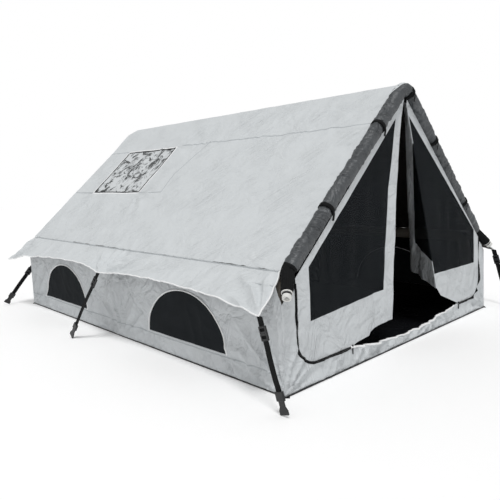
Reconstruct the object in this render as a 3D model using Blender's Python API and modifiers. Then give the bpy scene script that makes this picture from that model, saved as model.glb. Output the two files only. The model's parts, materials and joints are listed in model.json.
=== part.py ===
# Inflatable house tent: a fabric shell over welded air beams, with a zipped mesh door
# at the front, half-dome side windows, one skylight and six guy straps.
# Metres, +Z up, front gable towards -Y, origin on the ground at the middle of the plan.
import math

import bmesh
import bpy
from mathutils import Matrix, Vector

# Driving dimensions of the shell
BASE_WIDTH = 3.0
BASE_LENGTH = 4.0
RIDGE_HEIGHT = 2.06
EAVE_LINE_HEIGHT = 0.69
SEAM_INSET = 0.095
SHEET = 0.003
CLEAR = 0.0003
GABLE_SETBACK = 0.007
GABLE_LEAN = math.radians(1.6)
FLY_REAR_OVERHANG = 0.035
FLY_RIDGE_INSET = 0.13
FLY_CHAMFER_DROP = 0.10
REAR_GABLE_INSET = 0.0025
WALL_TOP_RISE = 0.010

# Eave flap: the strip of the fly below the eave seam, with a scalloped edge
FLAP_RUN = 0.305
FLAP_EDGE_DROP = 0.132
FLAP_START = 0.0008
FLAP_TIP_WIDTH = 0.05
FLAP_FLAT_STRIP = 0.06
FLAP_SCALLOPS = (0.070, 0.105)
FLAP_SCALLOP_POWER = 2.6
FLAP_TIP_LENGTHS = (0.369, 0.339, 0.382)
FLAP_TIP_LIFTS = (0.009, 0.057, -0.009)
FLAP_FOLD_PITCH = 0.27
FLAP_FOLD_HEIGHT = 0.006
FLAP_STEP_LONG = 0.09
FLAP_STEP_DOWN = 0.095
TIP_FRONT_SETBACK = 0.005
TIP_MIDDLE_Y = -0.055
TIP_REAR_OVERHANG = 0.10

# Windows, each a half dome in the side wall, and the skylight in the left roof
WINDOW_CENTRES = (-0.96, 1.10)
WINDOW_HALF_WIDTH = 0.48
WINDOW_HEIGHT = 0.39
WINDOW_SILL = 0.15
WINDOW_ARC_STEPS = 18
MESH_SHEET = 0.0015
SKYLIGHT_START = 0.61
SKYLIGHT_END = 1.57
SKYLIGHT_TOP = 0.481
SKYLIGHT_FOOT = 1.165

# Air beams, all welded tubes
SLEEVE_RADIUS = 0.050
SLEEVE_WALL = 0.0022
SLEEVE_DEPTH = 0.011
SLEEVE_INSET = 0.065
SLEEVE_END_INSET = 0.020
SLEEVE_BEND = 0.10
SLEEVE_BEND_STEPS = 7
FRONT_BLADDER_RADIUS = 0.0466
BLADDER_TAPER = 0.03
NECK_RADIUS = 0.034
NECK_OUT = 0.095
NECK_FORWARD = 0.075
NECK_DROP = 0.112
BEAM_RADIUS = 0.055
RIDGE_BEAM_RADIUS = 0.050
MIDDLE_ARCH_Y = 0.0
REAR_ARCH_INSET = 0.06
ARCH_EAVE_INSET = 0.025
LEG_FOOT_INSET = 0.070
SIDE_BEAM_INSET = 0.035
FRONT_LEG_BACK = 0.03
ARCH_BEND = 0.13
BEND_STEPS = 5
BEAM_SIDES = 16
SLEEVE_SIDES = 20

# Inflation valve at each end of the front arch
VALVE_FLANGE_RADIUS = 0.036
VALVE_BODY_RADIUS = 0.029
VALVE_LENGTH = 0.050
VALVE_FLANGE = 0.008
VALVE_MOUTH_RADIUS = 0.017
VALVE_MOUTH_DEPTH = 0.013
VALVE_GUIDE_RADIUS = 0.0100
VALVE_GUIDE_DEPTH = 0.044
PLUNGER_CLEAR = 0.0004
PLUNGER_START = 0.0135
PLUNGER_LENGTH = 0.022
VALVE_STEPS = 32

# Front door, in the gable's own plane: x across, z up
ZIP_INSET = 0.020
ZIP_GAP = 0.004
ZIP_CORNER_RADIUS = 0.19
ZIP_SILL_HEIGHT = 0.15
ZIP_ARC_STEPS = 6
SILL_SAG = 0.076
SILL_HALF_SHARE = 0.5861
SILL_STEPS = 8
JAMB_TOP_GAP = 0.0282
JAMB_SHOULDER_OUT = 0.075
JAMB_SHOULDER_DROP = 0.070
JAMB_CORNER_DROP = 0.115
LEAF_TOP_REACH = 0.034
LEAF_TOP_GAP = 0.006
LEAF_HEM_REACH = 0.237
LEAF_HEM_HEIGHT = 0.235
LEFT_SLIDER_SHARE = 0.5641
RIGHT_SLIDER_SHARE = 0.6593
FREE_EDGE_SHARES = ((0.21, 0.085), (0.65, 0.40), (0.72, 0.46))
HEM_SHARES = ((0.30, 0.98), (0.58, 0.62), (0.62, 0.32), (0.90, 0.16))
SLANT_STRIP = 0.052
MESH_SIDE_INSET = 0.137
MESH_SIDE_FOOT = 0.430
MESH_MID_FOOT = 0.494
MESH_MID_REACH = 0.369
FREE_STRIP_SHARES = ((0.15, 0.10), (0.50, 0.40), (1.0, 1.0))
FREE_STRIP_TOP = 0.10
MESH_TOP_DROP = 0.18
FOLD_TOP_REACH = 0.036
FOLD_TOP_DROP = 0.03
FOLD_FOOT_REACH = 0.500
FOLD_FOOT_HEIGHT = 0.358
FOLD_HEM_REACH = 0.572
FOLD_HEM_HEIGHT = 0.283
FOLD_BORDER = 0.014
FOLD_GAP = 0.0070
FOLD_ANGLE = math.radians(127.0)
INNER_HEM_REACH = 0.008
INNER_HEM_HEIGHT = 0.225
INNER_STRIP = 0.13
INNER_MESH_FOOT = 0.50
INNER_MESH_TOP_SHARE = 0.20
DOOR_FOLD_PITCH = 0.21
DOOR_FOLD_HEIGHT = 0.008
DOOR_FOLD_RAMP = 0.9
DOOR_EDGE_RAMP = 0.35
DOOR_STEP_ACROSS = 0.035
DOOR_STEP_DOWN = 0.20
SLIDER_SIZE = (0.012, 0.022, 0.007)
SLIDER_TAB = (0.008, 0.045)

# Guy straps: webbing, adjuster, and a side-release buckle at the ground
FOOT_OFFSETS = ((-0.016, -0.177), (0.120, 0.367), (0.045, 0.105))
GABLE_STRAP_INSET = 0.040
GABLE_STRAP_DROP = 0.225
WEBBING_WIDTH = 0.045
WEBBING = 0.0025
TIP_INSET = 0.003
ADJUSTER_START = 0.060
ADJUSTER_SIZE = (0.060, 0.088, 0.012)
ADJUSTER_WINDOW = (0.038, 0.020)
ADJUSTER_WINDOW_STEP = 0.022
STRAP_FIT = 0.0005
SOCKET_SIZE = (0.060, 0.056, 0.018)
SOCKET_MOUTH_DEPTH = 0.038
SOCKET_SLOT_DEPTH = 0.012
TONGUE_WIDTH = 0.038
TONGUE_LENGTH = 0.034
PLUG = 0.009
WAIST_WIDTH = 0.042
WAIST_LENGTH = 0.034
FOOT_WIDTH = 0.068
FOOT_LENGTH = 0.048
FOOT_FLARE_SHARE = 0.45
FOOT_CLEAR = 0.0005
EDGE_ROUND = 0.0015

# Groundsheet with a peg tab at each corner
TAB_WIDTH = 0.05
TAB_LENGTH = 0.03
FLOOR = 0.004

OVERRUN = 0.05
TRIM_DEPTH = 0.20
MITRE_SHARE = 0.3

HALF_WIDTH = BASE_WIDTH / 2
HALF_LENGTH = BASE_LENGTH / 2
ROOF_SLOPE = (RIDGE_HEIGHT - EAVE_LINE_HEIGHT) / HALF_WIDTH
ROOF_ANGLE = math.atan(ROOF_SLOPE)
COS_ROOF = math.cos(ROOF_ANGLE)
SIN_ROOF = math.sin(ROOF_ANGLE)
GABLE_FOOT_Y = -HALF_LENGTH + GABLE_SETBACK
SLEEVE_Y = -HALF_LENGTH + SLEEVE_INSET
FLY_FRONT_Y = SLEEVE_Y + SLEEVE_RADIUS + CLEAR
FLY_REAR_Y = HALF_LENGTH + FLY_REAR_OVERHANG
REAR_ARCH_Y = HALF_LENGTH - REAR_ARCH_INSET
INSIDE_WALL = HALF_WIDTH - SHEET - CLEAR
SEAM_REACH = HALF_WIDTH - SEAM_INSET
FLAP_REACH = SEAM_REACH + FLAP_RUN
FLAP_EDGE_HEIGHT = EAVE_LINE_HEIGHT - FLAP_EDGE_DROP
WALL_TOP_HEIGHT = EAVE_LINE_HEIGHT + WALL_TOP_RISE
TIP_STATIONS = (-HALF_LENGTH + TIP_FRONT_SETBACK, TIP_MIDDLE_Y, HALF_LENGTH + TIP_REAR_OVERHANG)
SLEEVE_END_REACH = SEAM_REACH - SLEEVE_END_INSET
ARCH_EAVE_REACH = SEAM_REACH - ARCH_EAVE_INSET
LEG_FOOT_REACH = HALF_WIDTH - LEG_FOOT_INSET
SIDE_BEAM_REACH = SEAM_REACH - SIDE_BEAM_INSET
ZIP_REACH = SLEEVE_END_REACH - ZIP_INSET
LEFT_SLIDER_REACH = ZIP_REACH * LEFT_SLIDER_SHARE
RIGHT_SLIDER_REACH = ZIP_REACH * RIGHT_SLIDER_SHARE
SILL_HALF = ZIP_REACH * SILL_HALF_SHARE
MESH_SIDE_REACH = ZIP_REACH - MESH_SIDE_INSET
FLOOR_TOP = FLOOR + CLEAR
ROOF_INNER = SHEET + CLEAR

X_AXIS = Vector((1, 0, 0))
Y_AXIS = Vector((0, 1, 0))
Z_AXIS = Vector((0, 0, 1))


def clear_scene():
    """Remove what the startup scene holds."""
    for item in list(bpy.data.objects):
        bpy.data.objects.remove(item, do_unlink=True)


def new_collection(name):
    group = bpy.data.collections.new(name)
    bpy.context.scene.collection.children.link(group)
    return group


def new_material(name, colour, roughness, metallic=0.0):
    material = bpy.data.materials.new(name)
    material.use_nodes = True
    shader = material.node_tree.nodes["Principled BSDF"]
    shader.inputs["Base Color"].default_value = (*colour, 1.0)
    shader.inputs["Roughness"].default_value = roughness
    shader.inputs["Metallic"].default_value = metallic
    return material


clear_scene()
TENT = new_collection("inflatable_tent")
CUTTERS = new_collection("cutters")

FINISHES = {
    "fly": new_material("coated_polyester_fly", (0.62, 0.65, 0.67), 0.62),
    "wall": new_material("oxford_polyester_wall", (0.50, 0.53, 0.55), 0.66),
    "floor": new_material("black_groundsheet", (0.010, 0.011, 0.012), 0.55),
    "mesh": new_material("black_mesh", (0.013, 0.016, 0.018), 0.85),
    "clear": new_material("clear_film", (0.55, 0.57, 0.58), 0.15),
    "sleeve": new_material("dark_sleeve", (0.075, 0.080, 0.088), 0.72),
    "beam": new_material("air_beam_film", (0.20, 0.19, 0.18), 0.45),
    "white": new_material("white_valve", (0.80, 0.80, 0.78), 0.40),
    "webbing": new_material("black_webbing", (0.008, 0.008, 0.009), 0.80),
    "buckle": new_material("black_acetal", (0.012, 0.012, 0.013), 0.42),
    "zip": new_material("zip_slider_metal", (0.18, 0.18, 0.18), 0.35, 0.9),
}


def keep(item, finish):
    """Link a finished piece to the tent and give it its material."""
    item.data.materials.append(FINISHES[finish])
    for group in list(item.users_collection):
        group.objects.unlink(item)
    TENT.objects.link(item)
    return item


def hide_cutter(item):
    for group in list(item.users_collection):
        group.objects.unlink(item)
    CUTTERS.objects.link(item)
    item.hide_render = True
    item.display_type = "WIRE"
    return item


def hang_on(item, pivot):
    """Parent a piece to a pivot empty without moving it."""
    item.parent = pivot
    item.matrix_parent_inverse = pivot.matrix_world.inverted()


def plane_frame(origin, across, up):
    """Matrix of a flat frame: local X along across, local Y along up, local Z out."""
    across = Vector(across).normalized()
    up = Vector(up).normalized()
    out = across.cross(up)
    rotation = Matrix((across, up, out)).transposed().to_4x4()
    return Matrix.Translation(origin) @ rotation


def outline_curve(name, loops, depth):
    """A filled flat outline, the first loop outside and the others holes."""
    curve = bpy.data.curves.new(name, "CURVE")
    curve.dimensions = "2D"
    curve.fill_mode = "BOTH"
    curve.extrude = depth / 2
    for loop in loops:
        spline = curve.splines.new("POLY")
        spline.points.add(len(loop) - 1)
        for point, (u, v) in zip(spline.points, loop):
            point.co = (u, v, 0, 1)
        spline.use_cyclic_u = True
    return bpy.data.objects.new(name, curve)


def flat_panel(name, loops, thickness, frame, finish):
    """A flat sheet, centred on its frame's plane."""
    panel = outline_curve(name, loops, thickness)
    panel.matrix_world = frame
    bpy.context.scene.collection.objects.link(panel)
    return keep(panel, finish)


def baked(item, name):
    """A plain mesh object that takes the place of a curve or a modified object."""
    bpy.context.view_layer.update()
    view = bpy.context.evaluated_depsgraph_get()
    mesh = bpy.data.meshes.new_from_object(item.evaluated_get(view))
    place = item.matrix_world.copy()
    bpy.data.objects.remove(item, do_unlink=True)
    shape = bmesh.new()
    shape.from_mesh(mesh)
    bmesh.ops.remove_doubles(shape, verts=shape.verts, dist=CLEAR / 10)
    bmesh.ops.recalc_face_normals(shape, faces=shape.faces)
    shape.to_mesh(mesh)
    shape.free()
    result = bpy.data.objects.new(name, mesh)
    bpy.context.scene.collection.objects.link(result)
    result.matrix_world = place
    return result


def outline_prism(name, loops, depth, frame):
    """A solid block with the given outline, used to cut or to trim."""
    block = outline_curve(name, loops, depth)
    block.matrix_world = frame
    bpy.context.scene.collection.objects.link(block)
    return hide_cutter(baked(block, name))


def boolean(item, cutter, operation):
    change = item.modifiers.new(operation.lower(), "BOOLEAN")
    change.operation = operation
    change.object = cutter
    change.solver = "EXACT"


def cloth_panel(name, loops, frame, steps, lift, finish, thickness=SHEET):
    """A sheet whose surface stands off its plane by lift(u, v), trimmed to an outline."""
    us = [point[0] for point in loops[0]]
    vs = [point[1] for point in loops[0]]
    low = (min(us) - OVERRUN, min(vs) - OVERRUN)
    size = (max(us) + OVERRUN - low[0], max(vs) + OVERRUN - low[1])
    counts = [max(1, round(side / step)) for side, step in zip(size, steps)]
    grid = bmesh.new()
    bmesh.ops.create_grid(grid, x_segments=counts[0], y_segments=counts[1], size=1)
    for vert in grid.verts:
        u = low[0] + (vert.co.x + 1) / 2 * size[0]
        v = low[1] + (vert.co.y + 1) / 2 * size[1]
        vert.co = (u, v, lift(u, v))
    mesh = bpy.data.meshes.new(name)
    grid.to_mesh(mesh)
    grid.free()
    sheet = bpy.data.objects.new(name, mesh)
    bpy.context.scene.collection.objects.link(sheet)
    sheet.matrix_world = frame
    wall = sheet.modifiers.new("thickness", "SOLIDIFY")
    wall.thickness = thickness
    wall.offset = 0
    trim = outline_prism(name + "_trim", loops, TRIM_DEPTH, frame)
    boolean(sheet, trim, "INTERSECT")
    return keep(baked(sheet, name), finish)


def rounded_path(corners, radius, steps=BEND_STEPS):
    """Straight runs between corner points, with each inner corner turned on an arc."""
    points = [Vector(corners[0])]
    for before, corner, after in zip(corners, corners[1:], corners[2:]):
        corner = Vector(corner)
        back = (Vector(before) - corner).normalized()
        ahead = (Vector(after) - corner).normalized()
        half = back.angle(ahead) / 2
        middle = (back + ahead).normalized()
        centre = corner + middle * (radius / math.sin(half))
        first = corner + back * (radius / math.tan(half)) - centre
        last = corner + ahead * (radius / math.tan(half)) - centre
        for index in range(steps + 1):
            points.append(centre + first.slerp(last, index / steps).normalized() * radius)
    points.append(Vector(corners[-1]))
    return points


def tube(name, path, radius, sides, radii=None, caps=True):
    """A round tube along a path; radii gives a radius for each point."""
    curve = bpy.data.curves.new(name, "CURVE")
    curve.dimensions = "3D"
    curve.bevel_depth = radius
    curve.bevel_resolution = (sides - 4) // 2
    curve.use_fill_caps = caps
    spline = curve.splines.new("POLY")
    spline.points.add(len(path) - 1)
    for index, place in enumerate(path):
        spline.points[index].co = (*place, 1)
        spline.points[index].radius = radii[index] / radius if radii else 1
    spline.use_smooth = True
    item = bpy.data.objects.new(name, curve)
    bpy.context.scene.collection.objects.link(item)
    return item


def box_mesh(name, size, rounding=0.0):
    """A box centred on its origin, with its edges bevelled."""
    shape = bmesh.new()
    bmesh.ops.create_cube(shape, size=1)
    bmesh.ops.scale(shape, vec=size, verts=shape.verts)
    mesh = bpy.data.meshes.new(name)
    shape.to_mesh(mesh)
    shape.free()
    item = bpy.data.objects.new(name, mesh)
    bpy.context.scene.collection.objects.link(item)
    if rounding:
        edge = item.modifiers.new("rounding", "BEVEL")
        edge.width = rounding
        edge.segments = 1
        edge.limit_method = "ANGLE"
    return item


def turned(name, profile, steps, finish):
    """A solid of revolution about local Z from an (r, z) profile that runs top to bottom."""
    mesh = bpy.data.meshes.new(name)
    shape = bmesh.new()
    verts = [shape.verts.new((r, 0, z)) for r, z in profile]
    for first, second in zip(verts, verts[1:]):
        shape.edges.new((first, second))
    shape.to_mesh(mesh)
    shape.free()
    item = bpy.data.objects.new(name, mesh)
    bpy.context.scene.collection.objects.link(item)
    screw = item.modifiers.new("turn", "SCREW")
    screw.axis = "Z"
    screw.steps = steps
    screw.render_steps = steps
    screw.use_merge_vertices = True
    screw.merge_threshold = CLEAR / 10
    return keep(baked(item, name), finish)


def mirror_x(points):
    return [(-u, v) for u, v in reversed(points)]


def smooth(share):
    share = max(0.0, min(1.0, share))
    return share * share * (3 - 2 * share)


def roof_height(reach, depth=0.0):
    """Height of a line that lies depth under the fly's outer face, at a distance reach."""
    return RIDGE_HEIGHT - ROOF_SLOPE * reach - depth / COS_ROOF


def slant_edge(reach):
    """Height of the door's top edge, which hangs just under the sleeve."""
    return roof_height(reach, SLEEVE_DEPTH + SLEEVE_RADIUS + SHEET / 2 + CLEAR)


JAMB_TOP = slant_edge(ZIP_REACH) - JAMB_TOP_GAP
JAMB_SHOULDER = (ZIP_REACH + JAMB_SHOULDER_OUT, JAMB_TOP - JAMB_SHOULDER_DROP)
JAMB_CORNER_HEIGHT = JAMB_TOP - JAMB_CORNER_DROP


# The fly: two roof panels and the flaps below their eave seams

def slope_frame(side, depth):
    """Frame on a roof side: local X along +Y or -Y, local Y down the slope."""
    origin = Vector((0, 0, roof_height(0, depth)))
    down = Vector((side * COS_ROOF, 0, -SIN_ROOF))
    return plane_frame(origin, Y_AXIS * -side, down)


def along(side, points):
    """Turn (y, down) points into the frame of a roof side."""
    return [(-side * y, down) for y, down in points]


def skylight_loop(clearance):
    low = SKYLIGHT_START + clearance
    high = SKYLIGHT_END - clearance
    top = SKYLIGHT_TOP + clearance
    foot = SKYLIGHT_FOOT - clearance
    return [(low, top), (high, top), (high, foot), (low, foot)]


def roof_panel(side, name):
    start = SHEET * math.tan(ROOF_ANGLE) + CLEAR
    foot = SEAM_REACH / COS_ROOF - CLEAR
    outline = [
        (FLY_FRONT_Y, start),
        (FLY_REAR_Y - FLY_RIDGE_INSET, start),
        (FLY_REAR_Y, FLY_CHAMFER_DROP),
        (FLY_REAR_Y, foot),
        (FLY_FRONT_Y, foot),
    ]
    loops = [along(side, outline)]
    if side < 0:
        loops.append(along(side, skylight_loop(0)))
    return flat_panel(name, loops, SHEET, slope_frame(side, SHEET / 2), "fly")


roof_panel(-1, "roof_panel_left")
roof_panel(1, "roof_panel_right")
flat_panel(
    "skylight_pane",
    [along(-1, skylight_loop(CLEAR))],
    MESH_SHEET,
    slope_frame(-1, SHEET / 2),
    "clear",
)

FLAP_DROP = roof_height(SEAM_REACH) - FLAP_EDGE_HEIGHT
FLAP_LENGTH = math.hypot(FLAP_DROP, FLAP_RUN)
FLAP_ANGLE = math.atan2(FLAP_DROP, FLAP_RUN)


def flap_frame(side):
    origin = Vector((side * SEAM_REACH, 0, roof_height(SEAM_REACH, SHEET / 2)))
    down = Vector((side * math.cos(FLAP_ANGLE), 0, -math.sin(FLAP_ANGLE)))
    return plane_frame(origin, Y_AXIS * -side, down)


def tip_lift(y):
    """How far the flap's edge stands above its plane, blended between the three tips."""
    front, middle, rear = TIP_STATIONS
    if y <= middle:
        share = smooth((y - front) / (middle - front))
        return FLAP_TIP_LIFTS[0] + (FLAP_TIP_LIFTS[1] - FLAP_TIP_LIFTS[0]) * share
    share = smooth((y - middle) / (rear - middle))
    return FLAP_TIP_LIFTS[1] + (FLAP_TIP_LIFTS[2] - FLAP_TIP_LIFTS[1]) * share


def tip_nearness(y):
    """1 at a strap tip and 0 away from it, so that the folds die out at the tips."""
    nearest = min(abs(y - station) for station in TIP_STATIONS)
    return 1 - smooth((nearest - FLAP_TIP_WIDTH) / (2 * FLAP_FOLD_PITCH))


def flap_lift(y, down):
    share = max(0.0, (down - FLAP_FLAT_STRIP) / (FLAP_LENGTH - FLAP_FLAT_STRIP))
    wave = FLAP_FOLD_HEIGHT * math.sin(2 * math.pi * y / FLAP_FOLD_PITCH)
    return share * (tip_lift(y) + wave * (1 - tip_nearness(y)))


def scallop_bay(bay, steps):
    """The edge between two strap tips: flat in the middle and steep near the tips."""
    points = []
    first = TIP_STATIONS[bay] + FLAP_TIP_WIDTH / 2
    last = TIP_STATIONS[bay + 1] - FLAP_TIP_WIDTH / 2
    length = FLAP_TIP_LENGTHS[bay]
    growth = FLAP_TIP_LENGTHS[bay + 1] - length
    for index in range(steps + 1):
        share = index / steps
        rise = FLAP_SCALLOPS[bay] * (1 - abs(2 * share - 1) ** FLAP_SCALLOP_POWER)
        points.append((first + (last - first) * share, length + growth * share - rise))
    return points


def eave_flap(side, name):
    front, _, rear = TIP_STATIONS
    bay_steps = BEND_STEPS * 2
    outline = [(FLY_FRONT_Y, FLAP_START), (front, FLAP_TIP_LENGTHS[0])]
    outline += scallop_bay(0, bay_steps) + scallop_bay(1, bay_steps)
    outline += [(rear, FLAP_TIP_LENGTHS[2]), (FLY_REAR_Y, FLAP_START)]
    return cloth_panel(
        name,
        [along(side, outline)],
        flap_frame(side),
        (FLAP_STEP_LONG, FLAP_STEP_DOWN),
        lambda u, v: flap_lift(-side * u, v),
        "fly",
    )


eave_flap(-1, "eave_flap_left")
eave_flap(1, "eave_flap_right")


# Groundsheet, side walls with their mesh windows, and the rear gable

def groundsheet():
    tab = TAB_WIDTH * math.sqrt(0.5)
    reach = TAB_LENGTH * math.sqrt(0.5)
    corner = [
        (HALF_WIDTH, HALF_LENGTH - tab),
        (HALF_WIDTH + reach, HALF_LENGTH - tab + reach),
        (HALF_WIDTH - tab + reach, HALF_LENGTH + reach),
        (HALF_WIDTH - tab, HALF_LENGTH),
    ]
    left_rear = [(-x, y) for x, y in reversed(corner)]
    outline = corner + left_rear
    outline += [(-x, -y) for x, y in corner] + [(-x, -y) for x, y in left_rear]
    frame = Matrix.Translation((0, 0, FLOOR / 2))
    return flat_panel("groundsheet", [outline], FLOOR, frame, "floor")


groundsheet()


def half_dome(centre, shrink):
    """Outline of a window with a straight sill and an elliptic top."""
    half = WINDOW_HALF_WIDTH - shrink
    high = WINDOW_HEIGHT - 2 * shrink
    points = []
    for index in range(WINDOW_ARC_STEPS + 1):
        turn = math.pi * index / WINDOW_ARC_STEPS
        rise = WINDOW_SILL + shrink + high * math.sin(turn)
        points.append((centre + half * math.cos(turn), rise))
    return points


def gable_y(height):
    return GABLE_FOOT_Y + height * math.tan(GABLE_LEAN)


def side_wall(side, name):
    front_foot = gable_y(0) - SHEET / 2
    front_top = gable_y(JAMB_CORNER_HEIGHT) - SHEET / 2
    rear = HALF_LENGTH - REAR_GABLE_INSET + SHEET / 2
    outline = [
        (front_foot, FLOOR_TOP),
        (rear, FLOOR_TOP),
        (rear, WALL_TOP_HEIGHT),
        (front_top + NECK_RADIUS + NECK_FORWARD / 4, WALL_TOP_HEIGHT),
        (front_top, JAMB_CORNER_HEIGHT),
    ]
    frame = plane_frame((side * (HALF_WIDTH - SHEET / 2), 0, 0), Y_AXIS, Z_AXIS)
    loops = [outline] + [half_dome(centre, 0) for centre in WINDOW_CENTRES]
    flat_panel("wall_" + name, loops, SHEET, frame, "wall")
    for place, centre in zip(("front", "rear"), WINDOW_CENTRES):
        pane = [half_dome(centre, CLEAR)]
        flat_panel(f"window_mesh_{name}_{place}", pane, MESH_SHEET, frame, "mesh")


side_wall(-1, "left")
side_wall(1, "right")


def rear_gable():
    shoulder = roof_height(INSIDE_WALL, ROOF_INNER + CLEAR)
    outline = [
        (-INSIDE_WALL, FLOOR_TOP),
        (INSIDE_WALL, FLOOR_TOP),
        (INSIDE_WALL, shoulder),
        (0, roof_height(0, ROOF_INNER + CLEAR)),
        (-INSIDE_WALL, shoulder),
    ]
    frame = plane_frame((0, HALF_LENGTH - REAR_GABLE_INSET, 0), X_AXIS, Z_AXIS)
    return flat_panel("gable_rear", [outline], SHEET, frame, "wall")


rear_gable()


# Air beams: the front arch in its sleeve, two inner arches, ridge and side beams

def mirrored_path(half):
    """A path and its mirror image, joined where the half ends at the middle plane."""
    return half + [Vector((-point[0], point[1], point[2])) for point in reversed(half[:-1])]


def sleeve_corners():
    end = roof_height(SLEEVE_END_REACH, SLEEVE_DEPTH)
    return [
        (-SLEEVE_END_REACH, SLEEVE_Y, end),
        (0, SLEEVE_Y, roof_height(0, SLEEVE_DEPTH)),
        (SLEEVE_END_REACH, SLEEVE_Y, end),
    ]


def front_arch_sleeve():
    path = rounded_path(sleeve_corners(), SLEEVE_BEND, SLEEVE_BEND_STEPS)
    skin = baked(
        tube("front_arch_sleeve", path, SLEEVE_RADIUS, SLEEVE_SIDES, caps=False),
        "front_arch_sleeve",
    )
    wall = skin.modifiers.new("wall", "SOLIDIFY")
    wall.thickness = SLEEVE_WALL
    wall.offset = -1
    skin.data.shade_smooth()
    return keep(skin, "sleeve")


def neck_end(side):
    """Where the front bladder's neck ends and its valve begins."""
    return Vector((
        side * (SLEEVE_END_REACH + NECK_OUT),
        SLEEVE_Y - NECK_FORWARD,
        roof_height(SLEEVE_END_REACH, SLEEVE_DEPTH) - NECK_DROP,
    ))


def front_arch_beam():
    corners = [Vector(corner) for corner in sleeve_corners()]
    seat = neck_end(-1)
    inside = corners[0].lerp(corners[1], BLADDER_TAPER / (corners[1] - corners[0]).length)
    far = (-inside.x, inside.y, inside.z)
    arch = rounded_path([inside, corners[1], far], SLEEVE_BEND, SLEEVE_BEND_STEPS)
    path = [seat, corners[0]] + arch + [corners[2], neck_end(1)]
    radii = [NECK_RADIUS] * 2 + [FRONT_BLADDER_RADIUS] * len(arch) + [NECK_RADIUS] * 2
    beam = tube("front_arch_beam", path, FRONT_BLADDER_RADIUS, BEAM_SIDES, radii)
    return keep(beam, "beam")


front_arch_sleeve()
front_arch_beam()


def leg_foot(run, rise):
    """Height of a leaning leg's foot centre, so that its low rim just clears the floor."""
    return FLOOR_TOP + CLEAR + BEAM_RADIUS * run / math.hypot(run, rise)


def inner_arch(name, y):
    """One tube from the ground up the wall, over the ridge and down to the ground."""
    depth = ROOF_INNER + BEAM_RADIUS
    eave = roof_height(ARCH_EAVE_REACH, depth)
    foot = leg_foot(LEG_FOOT_REACH - ARCH_EAVE_REACH, eave)
    corners = [
        (-LEG_FOOT_REACH, y, foot),
        (-ARCH_EAVE_REACH, y, eave),
        (0, y, roof_height(0, depth)),
        (ARCH_EAVE_REACH, y, eave),
        (LEG_FOOT_REACH, y, foot),
    ]
    return keep(tube(name, rounded_path(corners, ARCH_BEND), BEAM_RADIUS, BEAM_SIDES), "beam")


inner_arch("middle_arch_beam", MIDDLE_ARCH_Y)
inner_arch("rear_arch_beam", REAR_ARCH_Y)

BAY_START = MIDDLE_ARCH_Y + BEAM_RADIUS + CLEAR
BAY_END = REAR_ARCH_Y - BEAM_RADIUS - CLEAR


def ridge_beam(name, start, end):
    height = roof_height(0, ROOF_INNER + RIDGE_BEAM_RADIUS)
    path = [(0, start, height), (0, end, height)]
    return keep(tube(name, path, RIDGE_BEAM_RADIUS, BEAM_SIDES), "beam")


ridge_beam("ridge_beam_front", FLY_FRONT_Y, MIDDLE_ARCH_Y - BEAM_RADIUS - CLEAR)
ridge_beam("ridge_beam_rear", BAY_START, BAY_END)


def side_beams(side, name):
    """The eave beams: the front one turns down into the corner leg behind the sleeve."""
    height = roof_height(SIDE_BEAM_REACH, ROOF_INNER + BEAM_RADIUS)
    corner_y = FLY_FRONT_Y + BEAM_RADIUS
    reach = side * SIDE_BEAM_REACH
    lean = math.hypot(LEG_FOOT_REACH - SIDE_BEAM_REACH, FRONT_LEG_BACK)
    foot = leg_foot(lean, height)
    corners = [
        (reach, MIDDLE_ARCH_Y - BEAM_RADIUS - CLEAR, height),
        (reach, corner_y, height),
        (side * LEG_FOOT_REACH, corner_y - FRONT_LEG_BACK, foot),
    ]
    front = tube(
        "side_beam_front_" + name, rounded_path(corners, ARCH_BEND), BEAM_RADIUS, BEAM_SIDES
    )
    keep(front, "beam")
    path = [(reach, BAY_START, height), (reach, BAY_END, height)]
    keep(tube("side_beam_rear_" + name, path, BEAM_RADIUS, BEAM_SIDES), "beam")


side_beams(-1, "left")
side_beams(1, "right")


# Inflation valves: a flanged body on the neck and a sprung plunger in its guide

def along_axis(item, place, direction):
    """Stand a turned piece at a place, its local Z pointing along a direction."""
    turn = Z_AXIS.rotation_difference(Vector(direction)).to_matrix().to_4x4()
    item.matrix_world = Matrix.Translation(place) @ turn


def valve(side, name):
    seat = neck_end(side)
    knee = Vector((
        side * SLEEVE_END_REACH, SLEEVE_Y, roof_height(SLEEVE_END_REACH, SLEEVE_DEPTH)
    ))
    out = (seat - knee).normalized()
    body_profile = [
        (VALVE_GUIDE_RADIUS, VALVE_LENGTH - VALVE_MOUTH_DEPTH),
        (VALVE_MOUTH_RADIUS, VALVE_LENGTH - VALVE_MOUTH_DEPTH),
        (VALVE_MOUTH_RADIUS, VALVE_LENGTH),
        (VALVE_BODY_RADIUS, VALVE_LENGTH),
        (VALVE_BODY_RADIUS, VALVE_FLANGE),
        (VALVE_FLANGE_RADIUS, VALVE_FLANGE),
        (VALVE_FLANGE_RADIUS, 0),
        (0, 0),
    ]
    guide_floor = VALVE_LENGTH - VALVE_GUIDE_DEPTH
    body_profile = [(0, guide_floor), (VALVE_GUIDE_RADIUS, guide_floor)] + body_profile
    body = turned("valve_" + name, body_profile, VALVE_STEPS, "white")
    along_axis(body, seat + out * CLEAR, out)
    top = VALVE_LENGTH - PLUNGER_START
    radius = VALVE_GUIDE_RADIUS - PLUNGER_CLEAR
    plunger_profile = [
        (0, top),
        (radius, top),
        (radius, top - PLUNGER_LENGTH),
        (0, top - PLUNGER_LENGTH),
    ]
    plunger = turned("valve_plunger_" + name, plunger_profile, VALVE_STEPS, "white")
    along_axis(plunger, seat + out * CLEAR, out)


valve(-1, "left")
valve(1, "right")


# Front gable: jambs and sill in one sewn panel, and the two door leaves

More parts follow.
